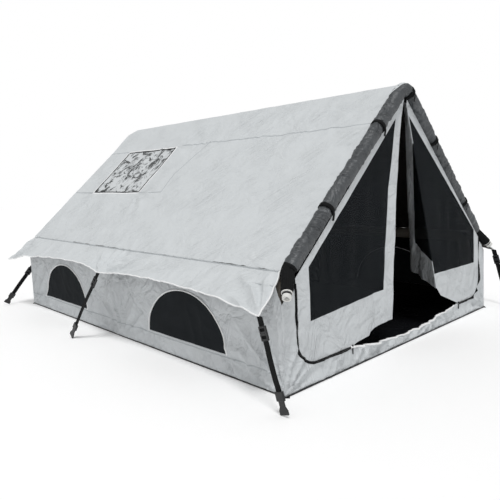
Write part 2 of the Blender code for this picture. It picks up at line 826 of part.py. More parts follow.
def gable_frame(x, height):
    """The gable's leaning plane, with its origin at a point given by x and height."""
    up = Vector((0, math.sin(GABLE_LEAN), math.cos(GABLE_LEAN)))
    foot = Vector((0, GABLE_FOOT_Y, 0))
    return plane_frame(foot + X_AXIS * x + up * height, X_AXIS, up)


def zip_line(reach, corner_start_x):
    """The door's zip from its top end down, round the corner and along the sill."""
    points = []
    centre = (reach - ZIP_CORNER_RADIUS, ZIP_SILL_HEIGHT + ZIP_CORNER_RADIUS)
    for index in range(ZIP_ARC_STEPS + 1):
        turn = math.pi / 2 * index / ZIP_ARC_STEPS
        across = centre[0] + ZIP_CORNER_RADIUS * math.cos(turn)
        points.append((across, centre[1] - ZIP_CORNER_RADIUS * math.sin(turn)))
    points.append((corner_start_x, ZIP_SILL_HEIGHT))
    return points


def inset(points, amount):
    """Move the points of a zip line towards the door's middle, and up off the sill."""
    moved = []
    for x, z in points:
        turn = math.atan2(
            ZIP_SILL_HEIGHT + ZIP_CORNER_RADIUS - min(z, ZIP_SILL_HEIGHT + ZIP_CORNER_RADIUS),
            max(0.0, x - (ZIP_REACH - ZIP_CORNER_RADIUS)),
        )
        moved.append((x - amount * math.cos(turn), z + amount * math.sin(turn)))
    return moved


def gable_front():
    sill = []
    for index in range(1, SILL_STEPS):
        share = 2 * index / SILL_STEPS - 1
        sag = SILL_SAG * (1 - share * share)
        sill.append((SILL_HALF * share, ZIP_SILL_HEIGHT - sag))
    right = [(INSIDE_WALL, FLOOR_TOP), (INSIDE_WALL, JAMB_CORNER_HEIGHT), JAMB_SHOULDER]
    right += [(ZIP_REACH, JAMB_TOP)] + zip_line(ZIP_REACH, SILL_HALF)
    outline = right + list(reversed(sill)) + mirror_x(right)
    return flat_panel("gable_front", [outline], SHEET, gable_frame(0, 0), "wall")


gable_front()

LEAF_TOP = slant_edge(LEAF_TOP_REACH)
LEAF_OUTER = ZIP_REACH - ZIP_GAP


def shifted(loops, origin):
    return [[(u - origin[0], v - origin[1]) for u, v in loop] for loop in loops]


def pleats(x, z, edge_share):
    """Soft upright folds that grow downwards, and die out at a leaf's sewn edges."""
    depth = smooth((LEAF_TOP - z) / DOOR_FOLD_RAMP)
    wave = math.sin(2 * math.pi * x / DOOR_FOLD_PITCH)
    return DOOR_FOLD_HEIGHT * depth * wave * edge_share


def hem_hold(x, z, slider_reach):
    """0 where the sill zip holds the leaf flat, 1 where its hem hangs free."""
    low = smooth((z - ZIP_SILL_HEIGHT - DOOR_STEP_DOWN) / DOOR_EDGE_RAMP)
    free = smooth((slider_reach - DOOR_STEP_ACROSS * 2 - abs(x)) / DOOR_EDGE_RAMP)
    return low + (1 - low) * free


def free_edge():
    """The left leaf's free edge, from its top to the hem, as it leans from the middle."""
    points = []
    fall = LEAF_TOP - LEAF_HEM_HEIGHT
    for across_share, down_share in FREE_EDGE_SHARES:
        points.append((-LEAF_HEM_REACH * across_share, LEAF_TOP - fall * down_share))
    return points + [(-LEAF_HEM_REACH, LEAF_HEM_HEIGHT)]


def hem(slider_reach, end_reach, end_height):
    """A lifted hem, from the leaf's free corner to where the zip still holds it."""
    points = []
    for run_share, rise_share in HEM_SHARES:
        across = end_reach + (slider_reach - end_reach) * run_share
        rise = (end_height - ZIP_SILL_HEIGHT) * rise_share
        points.append((across, ZIP_SILL_HEIGHT + ZIP_GAP + rise))
    return points


def leaf_left():
    origin = (-LEAF_TOP_REACH, LEAF_TOP)
    zipped = inset(zip_line(ZIP_REACH, LEFT_SLIDER_REACH), ZIP_GAP)
    outer = [(-x, z) for x, z in zipped]
    outline = [(-LEAF_TOP_REACH, LEAF_TOP), (-LEAF_OUTER, slant_edge(LEAF_OUTER))] + outer
    lifted = hem(LEFT_SLIDER_REACH, LEAF_HEM_REACH, LEAF_HEM_HEIGHT)
    outline += [(-x, z) for x, z in reversed(lifted)]
    outline += list(reversed(free_edge())) + [(-LEAF_TOP_GAP, LEAF_TOP)]
    slant = SLANT_STRIP / COS_ROOF
    top_reach = FREE_STRIP_TOP + LEAF_TOP_REACH
    mesh_loop = [
        (-top_reach, slant_edge(top_reach) - slant),
        (-MESH_SIDE_REACH, slant_edge(MESH_SIDE_REACH) - slant),
        (-MESH_SIDE_REACH, MESH_SIDE_FOOT),
        (-MESH_MID_REACH, MESH_MID_FOOT),
    ]
    mesh_top = mesh_loop[0]
    for across_share, down_share in reversed(FREE_STRIP_SHARES[:-1]):
        mesh_loop.append((
            mesh_top[0] + (-MESH_MID_REACH - mesh_top[0]) * across_share,
            mesh_top[1] + (MESH_MID_FOOT - mesh_top[1]) * down_share,
        ))

    def lift(u, v):
        x = u + origin[0]
        z = v + origin[1]
        edge = smooth((x + LEAF_OUTER) / DOOR_EDGE_RAMP)
        return pleats(x, z, edge * hem_hold(x, z, LEFT_SLIDER_REACH))

    frame = gable_frame(*origin)
    steps = (DOOR_STEP_ACROSS, DOOR_STEP_DOWN)
    return frame, steps, lift, origin, outline, mesh_loop


def shrunk(loop, amount):
    """A convex-ish loop drawn in by a small amount towards its middle line."""
    result = []
    count = len(loop)
    area = sum(
        loop[i][0] * loop[(i + 1) % count][1] - loop[(i + 1) % count][0] * loop[i][1]
        for i in range(count)
    )
    sign = 1 if area > 0 else -1
    for index in range(count):
        before = Vector(loop[index - 1])
        here = Vector(loop[index])
        after = Vector(loop[(index + 1) % count])
        first = (here - before).normalized()
        second = (after - here).normalized()
        normal = Vector((-first.y - second.y, first.x + second.x)) * sign
        normal.normalize()
        edge = Vector((-first.y, first.x)) * sign
        result.append(tuple(here + normal * (amount / max(edge.dot(normal), MITRE_SHARE))))
    return result


def leaf(name, parts):
    """A leaf's fabric frame and the mesh sewn into it, cut from one folded surface."""
    frame, steps, lift, origin, outline, mesh_loop = parts
    panel = cloth_panel(
        name + "_panel", shifted([outline, mesh_loop], origin), frame, steps, lift, "wall"
    )
    net = cloth_panel(
        name + "_mesh",
        shifted([shrunk(mesh_loop, CLEAR * 2)], origin),
        frame,
        steps,
        lift,
        "mesh",
        MESH_SHEET,
    )
    return panel, net


leaf("door_left", leaf_left())

FOLD_TOP = (FOLD_TOP_REACH, LEAF_TOP - FOLD_TOP_DROP)
FOLD_FOOT = (FOLD_FOOT_REACH, FOLD_FOOT_HEIGHT)


def fold_point(share, offset):
    """A point on the right leaf's fold line, moved sideways by an offset."""
    line = Vector(FOLD_FOOT) - Vector(FOLD_TOP)
    side = Vector((line.y, -line.x)).normalized() * -offset
    return tuple(Vector(FOLD_TOP) + line * share + side)


def fold_distance(x, z):
    line = (Vector(FOLD_FOOT) - Vector(FOLD_TOP)).normalized()
    away = Vector((x, z)) - Vector(FOLD_TOP)
    return abs(line.x * away.y - line.y * away.x)


def leaf_right_outer():
    origin = (LEAF_TOP_REACH, LEAF_TOP)
    zipped = inset(zip_line(ZIP_REACH, RIGHT_SLIDER_REACH), ZIP_GAP)
    outline = [(LEAF_TOP_REACH, LEAF_TOP), (LEAF_OUTER, slant_edge(LEAF_OUTER))] + zipped
    outline += [(FOLD_HEM_REACH, FOLD_HEM_HEIGHT), fold_point(1, FOLD_GAP / 2)]
    outline += [fold_point(0, FOLD_GAP / 2)]
    slant = SLANT_STRIP / COS_ROOF
    foot_share = (FOLD_TOP[1] - MESH_MID_FOOT) / (FOLD_TOP[1] - FOLD_FOOT[1])
    top_share = MESH_TOP_DROP / (FOLD_TOP[1] - FOLD_FOOT[1])
    top = fold_point(top_share, FOLD_BORDER)
    mesh_loop = [
        (top[0], min(top[1], slant_edge(top[0]) - slant)),
        fold_point(foot_share, FOLD_BORDER),
        (MESH_SIDE_REACH, MESH_SIDE_FOOT),
        (MESH_SIDE_REACH, slant_edge(MESH_SIDE_REACH) - slant),
    ]

    def lift(u, v):
        x = u + origin[0]
        z = v + origin[1]
        edge = smooth((LEAF_OUTER - x) / DOOR_EDGE_RAMP)
        edge *= smooth(fold_distance(x, z) / DOOR_EDGE_RAMP)
        return pleats(x, z, edge * hem_hold(x, z, RIGHT_SLIDER_REACH))

    return (
        gable_frame(*origin), (DOOR_STEP_ACROSS, DOOR_STEP_DOWN), lift, origin, outline,
        mesh_loop,
    )


def leaf_right_inner():
    """The free part of the right leaf, built flat and then turned back on the fold."""
    origin = FOLD_TOP
    top = (FOLD_TOP[0] - FOLD_GAP * 2, FOLD_TOP[1])
    corner = (INNER_HEM_REACH, INNER_HEM_HEIGHT)
    outline = [top, fold_point(0, -FOLD_GAP / 2), fold_point(1, -FOLD_GAP / 2), corner]
    outline.append((INNER_HEM_REACH, FOLD_TOP[1]))
    foot_share = (FOLD_TOP[1] - INNER_MESH_FOOT) / (FOLD_TOP[1] - FOLD_FOOT[1])
    fold_foot = fold_point(foot_share, -FOLD_BORDER)
    strip_foot = INNER_HEM_REACH + INNER_STRIP
    fold_high = fold_point(INNER_MESH_TOP_SHARE, -FOLD_BORDER)
    high = (fold_high[0] - FOLD_BORDER, fold_high[1])
    mesh_loop = [high, fold_high, fold_foot, (strip_foot, INNER_MESH_FOOT)]

    def lift(u, v):
        x = u + origin[0]
        z = v + origin[1]
        edge = smooth(fold_distance(x, z) / DOOR_EDGE_RAMP)
        return pleats(x, z, edge)

    return (
        gable_frame(*origin), (DOOR_STEP_ACROSS, DOOR_STEP_DOWN), lift, origin, outline,
        mesh_loop,
    )


leaf("door_right", leaf_right_outer())


def turn_about_fold(item):
    """Swing a piece of the right leaf's free part inwards about the fold line."""
    frame = gable_frame(*FOLD_TOP)
    line = Vector(FOLD_FOOT) - Vector(FOLD_TOP)
    axis = frame.to_3x3() @ Vector((line.x, line.y, 0)).normalized()
    place = Matrix.Translation(frame.translation)
    turn = place @ Matrix.Rotation(FOLD_ANGLE, 4, axis) @ place.inverted()
    item.matrix_world = turn @ item.matrix_world


for free_piece in leaf("door_fold", leaf_right_inner()):
    turn_about_fold(free_piece)


def zip_slider(side, reach, name):
    """A slider with its pull tab, riding on the sill zip in front of the gable."""
    width, height, depth = SLIDER_SIZE
    tab_width, tab_length = SLIDER_TAB
    middle = ZIP_SILL_HEIGHT + ZIP_GAP / 2
    outline = [
        (-width / 2, height / 2), (-width / 2, -height / 2), (-tab_width / 2, -height / 2),
        (-tab_width / 2, -height / 2 - tab_length), (tab_width / 2, -height / 2 - tab_length),
        (tab_width / 2, -height / 2), (width / 2, -height / 2), (width / 2, height / 2),
    ]
    frame = gable_frame(side * reach, middle)
    frame = frame @ Matrix.Translation((0, 0, SHEET / 2 + CLEAR + depth / 2))
    return flat_panel("zip_slider_" + name, [outline], depth, frame, "zip")


zip_slider(-1, LEFT_SLIDER_REACH + SLIDER_SIZE[0], "left")
zip_slider(1, RIGHT_SLIDER_REACH + SLIDER_SIZE[0], "right")


# Guy straps: each one turns about its sewn end, and carries its adjuster and buckle

REAR_STRAP = len(TIP_STATIONS) - 1


def strap_top(side, station):
    """The strap's turning axis, off the flap's tip or rear gable by the room its end needs."""
    room = SHEET / 2 + CLEAR + WEBBING / 2 * math.sqrt(2)
    if station == REAR_STRAP:
        reach = HALF_WIDTH - GABLE_STRAP_INSET
        back = HALF_LENGTH - REAR_GABLE_INSET + room
        return Vector((side * reach, back, EAVE_LINE_HEIGHT - GABLE_STRAP_DROP))
    down = FLAP_TIP_LENGTHS[station] - TIP_INSET
    local = Vector((-side * TIP_STATIONS[station], down, 0))
    local.z = flap_lift(TIP_STATIONS[station], down) - room
    return flap_frame(side) @ local


def strap_seam(station, down):
    """The line a strap is sewn along: the eave's, or square to the pull on the gable."""
    return down.cross(Y_AXIS).normalized() if station == REAR_STRAP else Y_AXIS


def strap_frame(side, station):
    """Local X across the webbing, local Y down it; the strap ends on the ground."""
    top = strap_top(side, station)
    foot_x = FLAP_REACH + FOOT_OFFSETS[station][0]
    foot_y = TIP_STATIONS[station] + FOOT_OFFSETS[station][1]
    down = (Vector((side * foot_x, foot_y, 0)) - top).normalized()
    seam = strap_seam(station, down)
    across = (seam - down * seam.dot(down)).normalized()
    return plane_frame(top, across, down)


def strap_length(frame):
    """How far the buckle's foot reaches down the strap before it meets the ground."""
    across = frame.col[0].xyz
    down = frame.col[1].xyz
    out = frame.col[2].xyz
    corner = abs(across.z) * FOOT_WIDTH / 2 + abs(out.z) * PLUG / 2
    return (frame.translation.z - FOOT_CLEAR - corner) / -down.z


def adjuster_shape():
    """A ladder frame with a slot down its length for the webbing and two windows."""
    body = box_mesh("adjuster_shape", ADJUSTER_SIZE, EDGE_ROUND)
    width = WEBBING_WIDTH + 2 * STRAP_FIT
    slot = box_mesh("adjuster_slot", (width, 2 * ADJUSTER_SIZE[1], WEBBING + 2 * STRAP_FIT))
    boolean(body, hide_cutter(slot), "DIFFERENCE")
    for place in (-ADJUSTER_WINDOW_STEP, ADJUSTER_WINDOW_STEP):
        window = box_mesh("adjuster_window", (*ADJUSTER_WINDOW, 2 * ADJUSTER_SIZE[2]))
        window.location.y = place
        boolean(body, hide_cutter(window), "DIFFERENCE")
    return baked(body, "adjuster_shape")


def socket_shape():
    """A flat case with a slot for the webbing above and a mouth for the tongue below."""
    body = box_mesh("socket_shape", SOCKET_SIZE, EDGE_ROUND)
    length = SOCKET_SIZE[1]
    slot = box_mesh("socket_slot", (
        WEBBING_WIDTH + 2 * STRAP_FIT, 2 * SOCKET_SLOT_DEPTH, WEBBING + 2 * STRAP_FIT
    ))
    slot.location.y = -length / 2
    boolean(body, hide_cutter(slot), "DIFFERENCE")
    mouth = box_mesh("socket_mouth", (
        TONGUE_WIDTH + 2 * STRAP_FIT, 2 * SOCKET_MOUTH_DEPTH, PLUG + 2 * STRAP_FIT
    ))
    mouth.location.y = length / 2
    boolean(body, hide_cutter(mouth), "DIFFERENCE")
    return baked(body, "socket_shape")


def plug_loop():
    """Tongue, waist and flared foot of the plug, from its tip down."""
    flare = FOOT_LENGTH * FOOT_FLARE_SHARE
    half = [
        (TONGUE_WIDTH / 2 - EDGE_ROUND, 0),
        (TONGUE_WIDTH / 2, EDGE_ROUND),
        (TONGUE_WIDTH / 2, TONGUE_LENGTH + EDGE_ROUND),
        (WAIST_WIDTH / 2, TONGUE_LENGTH + EDGE_ROUND),
        (WAIST_WIDTH / 2, TONGUE_LENGTH + WAIST_LENGTH),
        (FOOT_WIDTH / 2, TONGUE_LENGTH + WAIST_LENGTH + flare),
        (FOOT_WIDTH / 2, TONGUE_LENGTH + WAIST_LENGTH + FOOT_LENGTH),
    ]
    return half + mirror_x(half)


ADJUSTER = adjuster_shape()
SOCKET = socket_shape()
PLUG_LENGTH = TONGUE_LENGTH + WAIST_LENGTH + FOOT_LENGTH


def placed_copy(shape, name, frame):
    """A copy of a shape's mesh under its own name, at its own place."""
    item = bpy.data.objects.new(name, shape.data.copy())
    item.matrix_world = frame
    return keep(item, "buckle")


def guy_strap(side, station, name):
    frame = strap_frame(side, station)
    end = strap_length(frame)
    plug_top = end - PLUG_LENGTH
    socket_top = plug_top + TONGUE_LENGTH + EDGE_ROUND - SOCKET_SIZE[1] - CLEAR
    webbing_end = socket_top + SOCKET_SLOT_DEPTH - STRAP_FIT
    half = WEBBING_WIDTH / 2
    across, down = frame.col[0].xyz, frame.col[1].xyz
    seam = strap_seam(station, down)
    skew = half * seam.dot(down) / seam.dot(across)
    top = -WEBBING / 2
    loop = [(-half, top - skew), (half, top + skew), (half, webbing_end), (-half, webbing_end)]
    pivot = bpy.data.objects.new(name + "_pivot", None)
    TENT.objects.link(pivot)
    pivot.matrix_world = frame
    middle = ADJUSTER_START + ADJUSTER_SIZE[1] / 2
    at_adjuster = frame @ Matrix.Translation((0, middle, 0))
    at_socket = frame @ Matrix.Translation((0, socket_top + SOCKET_SIZE[1] / 2, 0))
    at_plug = frame @ Matrix.Translation((0, plug_top, 0))
    pieces = [
        flat_panel(name + "_webbing", [loop], WEBBING, frame, "webbing"),
        placed_copy(ADJUSTER, name + "_adjuster", at_adjuster),
        placed_copy(SOCKET, name + "_socket", at_socket),
        flat_panel(name + "_plug", [plug_loop()], PLUG, at_plug, "buckle"),
    ]
    for piece in pieces:
        hang_on(piece, pivot)


for strap_side, side_name in ((-1, "left"), (1, "right")):
    for strap_station, station_name in enumerate(("front", "middle", "rear")):
        guy_strap(strap_side, strap_station, f"guy_{side_name}_{station_name}")

for shape in (ADJUSTER, SOCKET):
    bpy.data.objects.remove(shape, do_unlink=True)
bpy.context.view_layer.update()
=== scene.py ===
# %% [markdown]
# # An inflatable house tent
#
# The real tent is a sewn fabric shell over welded air beams. It has one fly over the
# ridge, an eave flap on each side that six guy straps pull to the ground, half-dome
# mesh windows, a clear skylight, and a front door of two zipped mesh leaves.
#
# Every cloth piece here is cut flat, as a tent maker cuts it, filled with a fine
# mesh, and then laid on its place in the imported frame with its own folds. That gives
# true flat sizes for each sheet and lets a weave follow the cloth.

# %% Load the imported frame
import json
import math

import bmesh
import bpy
import numpy as np
from mathutils import Matrix, Vector
from mathutils.geometry import delaunay_2d_cdt
from mathutils.kdtree import KDTree

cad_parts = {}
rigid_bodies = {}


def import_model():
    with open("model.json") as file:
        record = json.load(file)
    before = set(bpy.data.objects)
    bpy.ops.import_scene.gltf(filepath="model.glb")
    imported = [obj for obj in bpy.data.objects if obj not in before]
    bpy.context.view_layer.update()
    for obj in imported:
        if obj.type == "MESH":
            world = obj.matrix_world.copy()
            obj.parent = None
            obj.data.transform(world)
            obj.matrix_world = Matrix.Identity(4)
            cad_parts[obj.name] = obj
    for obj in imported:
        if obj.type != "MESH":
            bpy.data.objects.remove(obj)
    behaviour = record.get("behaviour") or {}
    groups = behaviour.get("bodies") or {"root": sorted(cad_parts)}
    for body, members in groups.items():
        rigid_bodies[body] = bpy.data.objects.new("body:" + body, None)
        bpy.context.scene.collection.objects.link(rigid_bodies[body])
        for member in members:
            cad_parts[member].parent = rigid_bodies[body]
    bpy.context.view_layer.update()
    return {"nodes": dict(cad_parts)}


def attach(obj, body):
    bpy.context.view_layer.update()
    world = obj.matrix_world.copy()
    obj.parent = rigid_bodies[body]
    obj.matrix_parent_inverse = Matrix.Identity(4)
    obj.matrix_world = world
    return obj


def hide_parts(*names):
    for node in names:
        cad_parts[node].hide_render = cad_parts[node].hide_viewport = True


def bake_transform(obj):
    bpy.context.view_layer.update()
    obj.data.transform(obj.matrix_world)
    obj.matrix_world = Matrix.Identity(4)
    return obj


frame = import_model()

# %% [markdown]
# ## Camera
#
# The view follows the photograph: the camera stands in front of the left corner, a
# little over a metre up, and looks slightly down. It could be placed by hand, but a
# position with three angles is easier to read back and to change.

# %% Place the camera
CAMERA_PLACE = Vector((-3.747, -4.082, 1.342))
CAMERA_YAW = math.radians(43.55)
CAMERA_PITCH = math.radians(7.57)
CAMERA_ROLL = math.radians(-1.82)
SENSOR_WIDTH = 36.0
FOCAL_SHARE = 516.1 / 500

ahead = Vector((
    math.sin(CAMERA_YAW) * math.cos(CAMERA_PITCH),
    math.cos(CAMERA_YAW) * math.cos(CAMERA_PITCH),
    -math.sin(CAMERA_PITCH),
))
level = Vector((math.cos(CAMERA_YAW), -math.sin(CAMERA_YAW), 0))
above = level.cross(ahead)
camera_right = level * math.cos(CAMERA_ROLL) + above * math.sin(CAMERA_ROLL)
camera_up = above * math.cos(CAMERA_ROLL) - level * math.sin(CAMERA_ROLL)

camera_data = bpy.data.cameras.new("photo_view")
camera_data.sensor_width = SENSOR_WIDTH
camera_data.lens = SENSOR_WIDTH * FOCAL_SHARE
camera = bpy.data.objects.new("photo_view", camera_data)
turn = Matrix((camera_right, camera_up, -ahead)).transposed().to_4x4()
camera.matrix_world = Matrix.Translation(CAMERA_PLACE) @ turn
bpy.context.scene.collection.objects.link(camera)
bpy.context.scene.camera = camera
bpy.context.scene.view_settings.view_transform = "Standard"
print("lens", round(camera_data.lens, 2), "mm")

# %% [markdown]
# ## Small tools for materials
#
# A colour is written as the hex value that the eye would read, and turned to linear
# light in one place. One function adds any node, so that a material reads as a list.

# %% Colours and nodes
def linear(hex_colour):
    """An sRGB hex colour as linear red, green, blue and alpha."""
    parts = [int(hex_colour[i:i + 2], 16) / 255 for i in (0, 2, 4)]
    return (*[p / 12.92 if p <= 0.04045 else ((p + 0.055) / 1.055) ** 2.4 for p in parts], 1)


def add(tree, kind, inputs=None, **settings):
    """Add a node, with its settings, and fill or link its inputs."""
    node = tree.nodes.new(kind)
    for name, value in settings.items():
        setattr(node, name, value)
    for name, value in (inputs or {}).items():
        if isinstance(value, bpy.types.NodeSocket):
            tree.links.new(value, node.inputs[name])
        else:
            node.inputs[name].default_value = value
    return node


def new_material(name):
    """An empty material, its tree and its output node."""
    material = bpy.data.materials.new(name)
    material.use_nodes = True
    tree = material.node_tree
    tree.nodes.clear()
    return material, tree, add(tree, "ShaderNodeOutputMaterial")


print("mid grey is", round(linear("808080")[0], 3), "linear")

# %% [markdown]
# ## Woven cloth
#
# Fly, walls, leaves and sleeve are coated polyester. The threads cross at right
# angles, so two bands of waves, one along each thread, make the weave. A slow noise
# shifts the colour as dye and dust do, and a finer one makes the small crumple that
# stays in cloth that was packed. The threads follow the cut, so they read its UV map,
# which is in metres. Real threads are 0.3 mm apart; they are drawn 1.2 mm apart,
# because finer ones wouldn't show at all.

# %% The woven cloth material
DRAWN_THREAD = 0.0012
DYE_PATCH = 0.35
PACKING_CRUMPLE = 0.22
DRAWN_CREASE = (0.80, 0.036)


def woven(name, colour, shade, roughness, crumple=0.35, weave=0.25, drawn=0.0, heading=60, **extra):
    """Coated woven cloth between two close colours; crumple, weave and drawn are bump strengths."""
    material, tree, output = new_material(name)
    place = add(tree, "ShaderNodeTexCoord").outputs["UV"]
    patches = add(tree, "ShaderNodeTexNoise", {
        "Vector": place, "Scale": 1 / DYE_PATCH, "Detail": 3, "Roughness": 0.6,
    })
    tone = add(tree, "ShaderNodeMix", {
        "Factor": patches.outputs["Fac"], "A": linear(colour), "B": linear(shade),
    }, data_type="RGBA")
    bands = [add(tree, "ShaderNodeTexWave", {
        "Vector": place, "Scale": math.pi / (10 * DRAWN_THREAD),
    }, bands_direction=axis) for axis in "XY"]
    threads = add(tree, "ShaderNodeMath", {
        0: bands[0].outputs["Fac"], 1: bands[1].outputs["Fac"],
    }, operation="MULTIPLY")
    crushed = add(tree, "ShaderNodeTexNoise", {
        "Vector": place, "Scale": 1 / PACKING_CRUMPLE, "Detail": 4, "Roughness": 0.5,
        "Distortion": 0.5,
    })
    middle = add(tree, "ShaderNodeMath", {0: crushed.outputs["Fac"], 1: 0.5}, operation="SUBTRACT")
    ridges = add(tree, "ShaderNodeMath", {0: middle.outputs[0]}, operation="ABSOLUTE")
    bump = add(tree, "ShaderNodeBump", {
        "Height": ridges.outputs[0], "Strength": crumple, "Distance": 0.100,
    })
    lengthwise = add(tree, "ShaderNodeMapping", {
        "Vector": place, "Rotation": (0, 0, math.radians(heading)), "Scale": (*DRAWN_CREASE, 1),
    }, vector_type="TEXTURE")
    pulled = add(tree, "ShaderNodeTexNoise", {
        "Vector": lengthwise.outputs[0], "Scale": 1, "Detail": 3, "Roughness": 0.55,
        "Distortion": 0.4,
    })
    pulled = add(tree, "ShaderNodeMath", {0: pulled.outputs["Fac"], 1: 0.5}, operation="SUBTRACT")
    pulled = add(tree, "ShaderNodeMath", {0: pulled.outputs[0]}, operation="ABSOLUTE")
    where = add(tree, "ShaderNodeMapRange", {
        "Value": patches.outputs["Fac"], "From Min": 0.40, "From Max": 0.60,
    })
    pulled = add(tree, "ShaderNodeMath", {0: pulled.outputs[0], 1: where.outputs[0]},
                 operation="MULTIPLY")
    bump = add(tree, "ShaderNodeBump", {
        "Height": pulled.outputs[0], "Strength": drawn, "Distance": 0.060,
        "Normal": bump.outputs[0],
    })
    bump = add(tree, "ShaderNodeBump", {
        "Height": threads.outputs[0], "Strength": weave, "Distance": 0.0004,
        "Normal": bump.outputs[0],
    })
    gloss = add(tree, "ShaderNodeMapRange", {
        "Value": crushed.outputs["Fac"], "To Min": roughness - 0.06, "To Max": roughness + 0.06,
    })
    cloth = add(tree, "ShaderNodeBsdfPrincipled", {
        "Base Color": tone.outputs["Result"], "Roughness": gloss.outputs[0],
        "Normal": bump.outputs[0], **extra,
    })
    tree.links.new(cloth.outputs[0], output.inputs["Surface"])
    return material


# Dry black cloth scatters light and hardly shines
DULL = {"Specular IOR Level": 0.16}
# Coated polyester of the fly: pale cool grey, a soft satin
FLY = woven("coated_polyester_fly", "D5D9DB", "D0D4D6", 0.55, crumple=0.30, drawn=0.60, heading=48)
# The fly's inner face has a blackout coating, brown-black and dull; its near-black also stands in as
# painted shade for the dim inside and the underside of the flaps
FLY_INSIDE_SHADE = woven("blackout_coating_and_painted_shade", "2B2725", "241F1D", 0.75)
# Wall cloth is a little heavier and rougher than the fly
WALL = woven("oxford_polyester_wall", "D2D6D8", "CBCFD2", 0.62, crumple=0.8, drawn=0.65, heading=75)
# Painted shade: the inner face of the walls and the rear gable is drawn near-black for the dim inside
# of the tent
WALL_INSIDE_SHADE = woven("wall_inside_painted_shade", "131314", "0D0D0E", 0.8, **DULL)
# The arch sleeve is a dark open-faced polyester that wrinkles across the tube
SLEEVE = woven("dark_polyester_sleeve", "505457", "3A3D40", 0.46, crumple=1.3, drawn=1.0,
               heading=80, **{"Specular IOR Level": 0.7})
# Its ends are gathered in black cloth over the necks of the air beam
GATHER = woven("black_gathered_cloth", "151617", "0C0D0E", 0.8, crumple=0.5, **DULL)
# A flat-felled seam: four layers of fly cloth, so it is a little stiffer; its colour is drawn a little
# darker as painted shade along the seam
SEAM_SHADE = woven("felled_seam_painted_shade", "B9BEC1", "AEB3B6", 0.6, crumple=0.6)
# Binding tape along the cut edges, white and slightly ribbed
BINDING = woven("white_binding_tape", "F7F8F8", "F2F3F4", 0.6, crumple=0.1, weave=0.5)
# Groundsheet: black coated polyethylene, glossy where it is drawn tight
GROUNDSHEET = woven("black_polyethylene_floor", "15161A", "0E0F11", 0.34, crumple=0.6)
# Guy webbing: black polypropylene with a coarse rib
WEBBING = woven("black_polypropylene_webbing", "121314", "0A0B0C", 0.7, weave=0.9, **DULL)
# The zip's tape is knitted black polyester
ZIP_TAPE = woven("black_zip_tape", "101112", "0A0B0C", 0.8, weave=0.6, **DULL)
print("cloths", len(bpy.data.materials))

# %% [markdown]
# ## Mosquito mesh and clear film
#
# The mesh is a black knit with holes under two millimetres. From a few metres the eye
# sees a dark veil that lets a third of the light through, so its material is partly
# see-through as a whole, and the knit is only a fine bump. The skylight is clear PVC
# film, glassy and crinkled by its own geometry. A noise turns some of its facets opaque
# and pale, as a painted sheen, and lets the dark inside show through the rest.

# %% The mesh and the film
MESH_HOLE = 0.0018
NET, net_tree, net_output = new_material("black_mosquito_mesh")
net_place = add(net_tree, "ShaderNodeTexCoord").outputs["UV"]
net_knit = add(net_tree, "ShaderNodeTexVoronoi", {"Vector": net_place, "Scale": 1 / MESH_HOLE})
net_bump = add(net_tree, "ShaderNodeBump", {
    "Height": net_knit.outputs["Distance"], "Strength": 0.4, "Distance": 0.0006,
})
net_dust = add(net_tree, "ShaderNodeTexNoise", {"Vector": net_place, "Scale": 3, "Detail": 2})
net_tone = add(net_tree, "ShaderNodeMix", {
    "Factor": net_dust.outputs["Fac"], "A": linear("191C1F"), "B": linear("23272A"),
}, data_type="RGBA")
net_shader = add(net_tree, "ShaderNodeBsdfPrincipled", {
    "Base Color": net_tone.outputs["Result"], "Roughness": 0.8, "Alpha": 0.64,
    "Normal": net_bump.outputs[0], "Specular IOR Level": 0.12,
})
net_tree.links.new(net_shader.outputs[0], net_output.inputs["Surface"])
# The windows look black from outside, as in the photo, so their mesh is drawn nearly opaque: its black
# stands in as painted shade for the dark inside behind it
WINDOW_NET_SHADE = NET.copy()
WINDOW_NET_SHADE.name = "window_mesh_painted_shade"
for node in WINDOW_NET_SHADE.node_tree.nodes:
    if node.type == "BSDF_PRINCIPLED":
        node.inputs["Alpha"].default_value = 0.98

FILM, film_tree, film_output = new_material("clear_pvc_film")
film_place = add(film_tree, "ShaderNodeTexCoord").outputs["UV"]
film_cloud = add(film_tree, "ShaderNodeTexNoise", {"Vector": film_place, "Scale": 9, "Detail": 4})
film_bump = add(film_tree, "ShaderNodeBump", {
    "Height": film_cloud.outputs["Fac"], "Strength": 0.5, "Distance": 0.01,
})
film_facets = add(film_tree, "ShaderNodeTexNoise", {
    "Vector": film_place, "Scale": 5, "Detail": 6, "Roughness": 0.6, "Distortion": 2.6,
})
# Painted sheen: where the noise is high the film turns opaque and pale
film_painted_sheen = add(film_tree, "ShaderNodeMapRange", {
    "Value": film_facets.outputs["Fac"], "From Min": 0.43, "From Max": 0.53,
    "To Min": 0.10, "To Max": 1.0,
})
film_shader = add(film_tree, "ShaderNodeBsdfPrincipled", {
    "Base Color": linear("E4E8EA"), "Roughness": 0.16, "IOR": 1.53,
    "Alpha": film_painted_sheen.outputs[0], "Specular IOR Level": 0.9, "Metallic": 0.3,
    "Normal": film_bump.outputs[0],
})
film_tree.links.new(film_shader.outputs[0], film_output.inputs["Surface"])
print("sheer finishes", NET.name, WINDOW_NET_SHADE.name, FILM.name)

# %% [markdown]
# ## Moulded and welded parts
#
# Air beams are thermoplastic film, tinted by the dim inside of the tent. Valves are
# white moulded nylon, buckles black acetal with the fine grain of a spark-eroded
# mould, and the zip is lacquered zinc. All of them read Object coordinates, because a
# moulded grain doesn't follow any cut.

